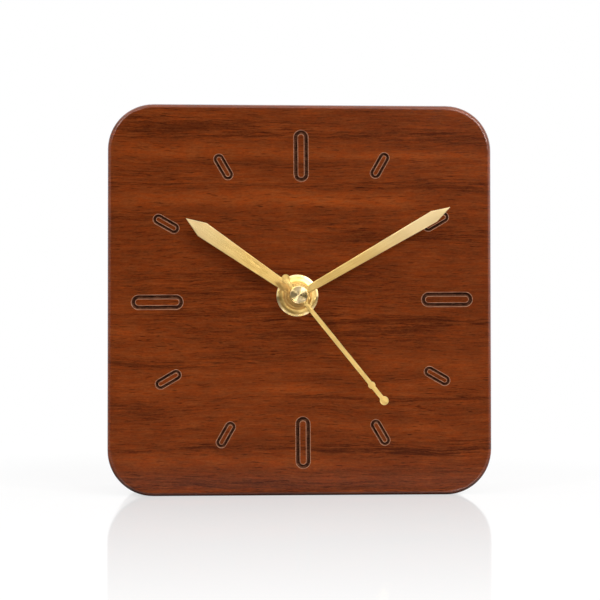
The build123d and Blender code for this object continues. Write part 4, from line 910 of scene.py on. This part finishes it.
def table_top():
    """A flat square: paint mixed with glow by the glow's share, then with gloss by the mirror's."""
    material = bpy.data.materials.new("white_table")
    material.use_nodes = True
    tree = material.node_tree
    tree.nodes.remove(tree.nodes["Principled BSDF"])
    place = object_place(tree)
    forward = add(tree, "ShaderNodeSeparateXYZ", {"Vector": place}).outputs["Y"]
    rays = add(tree, "ShaderNodeLightPath", {}).outputs
    glow, share = white_glow(tree, place, rays, dark_in_mirrors(tree, forward, rays))
    surface = add(tree, "ShaderNodeMixShader", {0: share, 1: white_paint(tree, forward, rays), 2: glow})
    gloss = add(tree, "ShaderNodeBsdfGlossy", {"Color": (1, 1, 1, 1), "Roughness": TABLE_ROUGHNESS})
    both = add(
        tree, "ShaderNodeMixShader",
        {0: mirror_share(tree, forward), 1: surface.outputs[0], 2: gloss.outputs[0]},
    )
    tree.links.new(both.outputs[0], tree.nodes["Material Output"].inputs["Surface"])
    mesh = bpy.data.meshes.new("white_table")
    corners = [(x * TABLE_HALF, y * TABLE_HALF, 0) for x, y in ((-1, -1), (1, -1), (1, 1), (-1, 1))]
    mesh.from_pydata(corners, [], [(0, 1, 2, 3)])
    mesh.materials.append(material)
    top = bpy.data.objects.new("white_table", mesh)
    bpy.context.scene.collection.objects.link(top)
    return top


print("table:", table_top().name, 2 * TABLE_HALF, "m wide")

# %% [markdown]
# ## Soft lamps
# The deep colour of the wood shows only when nothing bright is mirrored in it. So the lamps are
# small soft squares that stand well to the sides, where a flat dial mirrors them past the camera.

# %% The lamps
LAMP_WIDTH = 0.24
CLOCK_MIDDLE = Vector((0, 0, 0.06))
LAMPS = (
    # name, place in metres, power in watts
    ("key_lamp", (0.36, -1.02, 0.56), 2.2),
    ("right_softbox", (0.64, -0.80, 0.60), 2.7),
    ("left_softbox", (-0.62, -0.80, 0.62), 2.2),
)


def soft_lamp(name, place, power):
    """A square soft lamp that faces the middle of the clock."""
    lamp = bpy.data.lights.new(name, "AREA")
    lamp.size, lamp.energy = LAMP_WIDTH, power
    holder = bpy.data.objects.new(name, lamp)
    holder.location = place
    holder.rotation_euler = (CLOCK_MIDDLE - Vector(place)).to_track_quat("-Z", "Y").to_euler()
    bpy.context.scene.collection.objects.link(holder)
    print(name, "gives", power, "W")


for lamp_entry in LAMPS:
    soft_lamp(*lamp_entry)

# %% [markdown]
# ## A white room
# The room is white to the eye, and gives an even, dimmer light from all round. Mirrors see more
# of it: bright walls to the sides, above and behind the clock, dark wings and a dark opening
# behind the camera. The rounded edge of the block turns past every direction, and the thin bright
# line on it is the mirror image of a narrow bright hoop high on both sides.

# %% What mirrors see of the room
# each range below is of the part of a direction along one axis, from -1 to 1
WALLS = (
    # axis, where the wall starts and is full, and the strength at the two
    ("X", 0.60, 0.72, 0.70, 2.6),
    ("X", -0.60, -0.72, 0.70, 1.3),
    ("Z", 0.56, 0.68, 0.70, 2.6),
    ("Y", 0.10, 0.30, 0.0, 1.0),
)
WING_START, WING_END = (0.25, 0.45), (0.66, 0.56)
WING_LEVEL = (0.45, 0.15)
WING_FORWARD = (0.15, -0.10)
WING_STRENGTH = 0.30
OPENING = (-0.76, -0.91)


def room_in_mirrors(tree, parts, sideways):
    """The brightest wall, times what the wings and the opening leave of it."""
    bright = sums(tree, "MAXIMUM", *(spread(tree, parts[axis], *wall) for axis, *wall in WALLS))
    level = sums(tree, "ABSOLUTE", parts["Z"])
    wing = sums(
        tree, "MULTIPLY", spread(tree, sideways, *WING_START), spread(tree, level, *WING_LEVEL),
        spread(tree, sideways, *WING_END), spread(tree, parts["Y"], *WING_FORWARD),
    )
    opening = spread(tree, parts["Y"], *OPENING)
    return sums(
        tree, "MULTIPLY", spread(tree, wing, 0.0, 1.0, 1.0, WING_STRENGTH), bright,
        spread(tree, opening, 0.0, 1.0, 1.0, 0.0),
    )


# %% The bright hoop
HOOP_START, HOOP_END = (-0.76, -0.74), (-0.66, -0.68)
HOOP_RISE = (0.16, 0.52, 0.0, 0.67)
HOOP_STRENGTH = (-0.1, 0.1, 27.0, 76.0)


def bright_hoop(tree, parts, sideways):
    """A narrow band of directions; it gains with height and sideways, and is stronger at the right."""
    hoop = sums(tree, "MULTIPLY", spread(tree, parts["Y"], *HOOP_START), spread(tree, parts["Y"], *HOOP_END))
    upper = sums(
        tree, "MULTIPLY", ramp(tree, parts["Z"], *HOOP_RISE), sideways, ramp(tree, parts["X"], *HOOP_STRENGTH)
    )
    return sums(tree, "MULTIPLY", hoop, upper)


# %% The room
ROOM_LIGHT = 0.36


def white_room():
    """A mirror's ray gets walls plus hoop, any other the even light, and the camera at least white."""
    world = bpy.data.worlds.new("white_room")
    bpy.context.scene.world = world
    world.use_nodes = True
    tree = world.node_tree
    rays = add(tree, "ShaderNodeLightPath", {}).outputs
    direction = add(tree, "ShaderNodeTexCoord", {}).outputs["Generated"]
    parts = add(tree, "ShaderNodeSeparateXYZ", {"Vector": direction}).outputs
    sideways = sums(tree, "ABSOLUTE", parts["X"])
    mirrored = sums(
        tree, "ADD", room_in_mirrors(tree, parts, sideways), bright_hoop(tree, parts, sideways)
    )
    glossy = rays["Is Glossy Ray"]
    even = sums(tree, "MULTIPLY", sums(tree, "SUBTRACT", 1.0, glossy), ROOM_LIGHT)
    seen = sums(tree, "MAXIMUM", rays["Is Camera Ray"], rays["Is Transmission Ray"])
    strength = sums(tree, "MAXIMUM", sums(tree, "ADD", sums(tree, "MULTIPLY", glossy, mirrored), even), seen)
    tree.links.new(strength, tree.nodes["Background"].inputs["Strength"])
    tree.nodes["Background"].inputs["Color"].default_value = (1, 1, 1, 1)
    print(world.name, "gives an even light of", ROOM_LIGHT)


white_room()
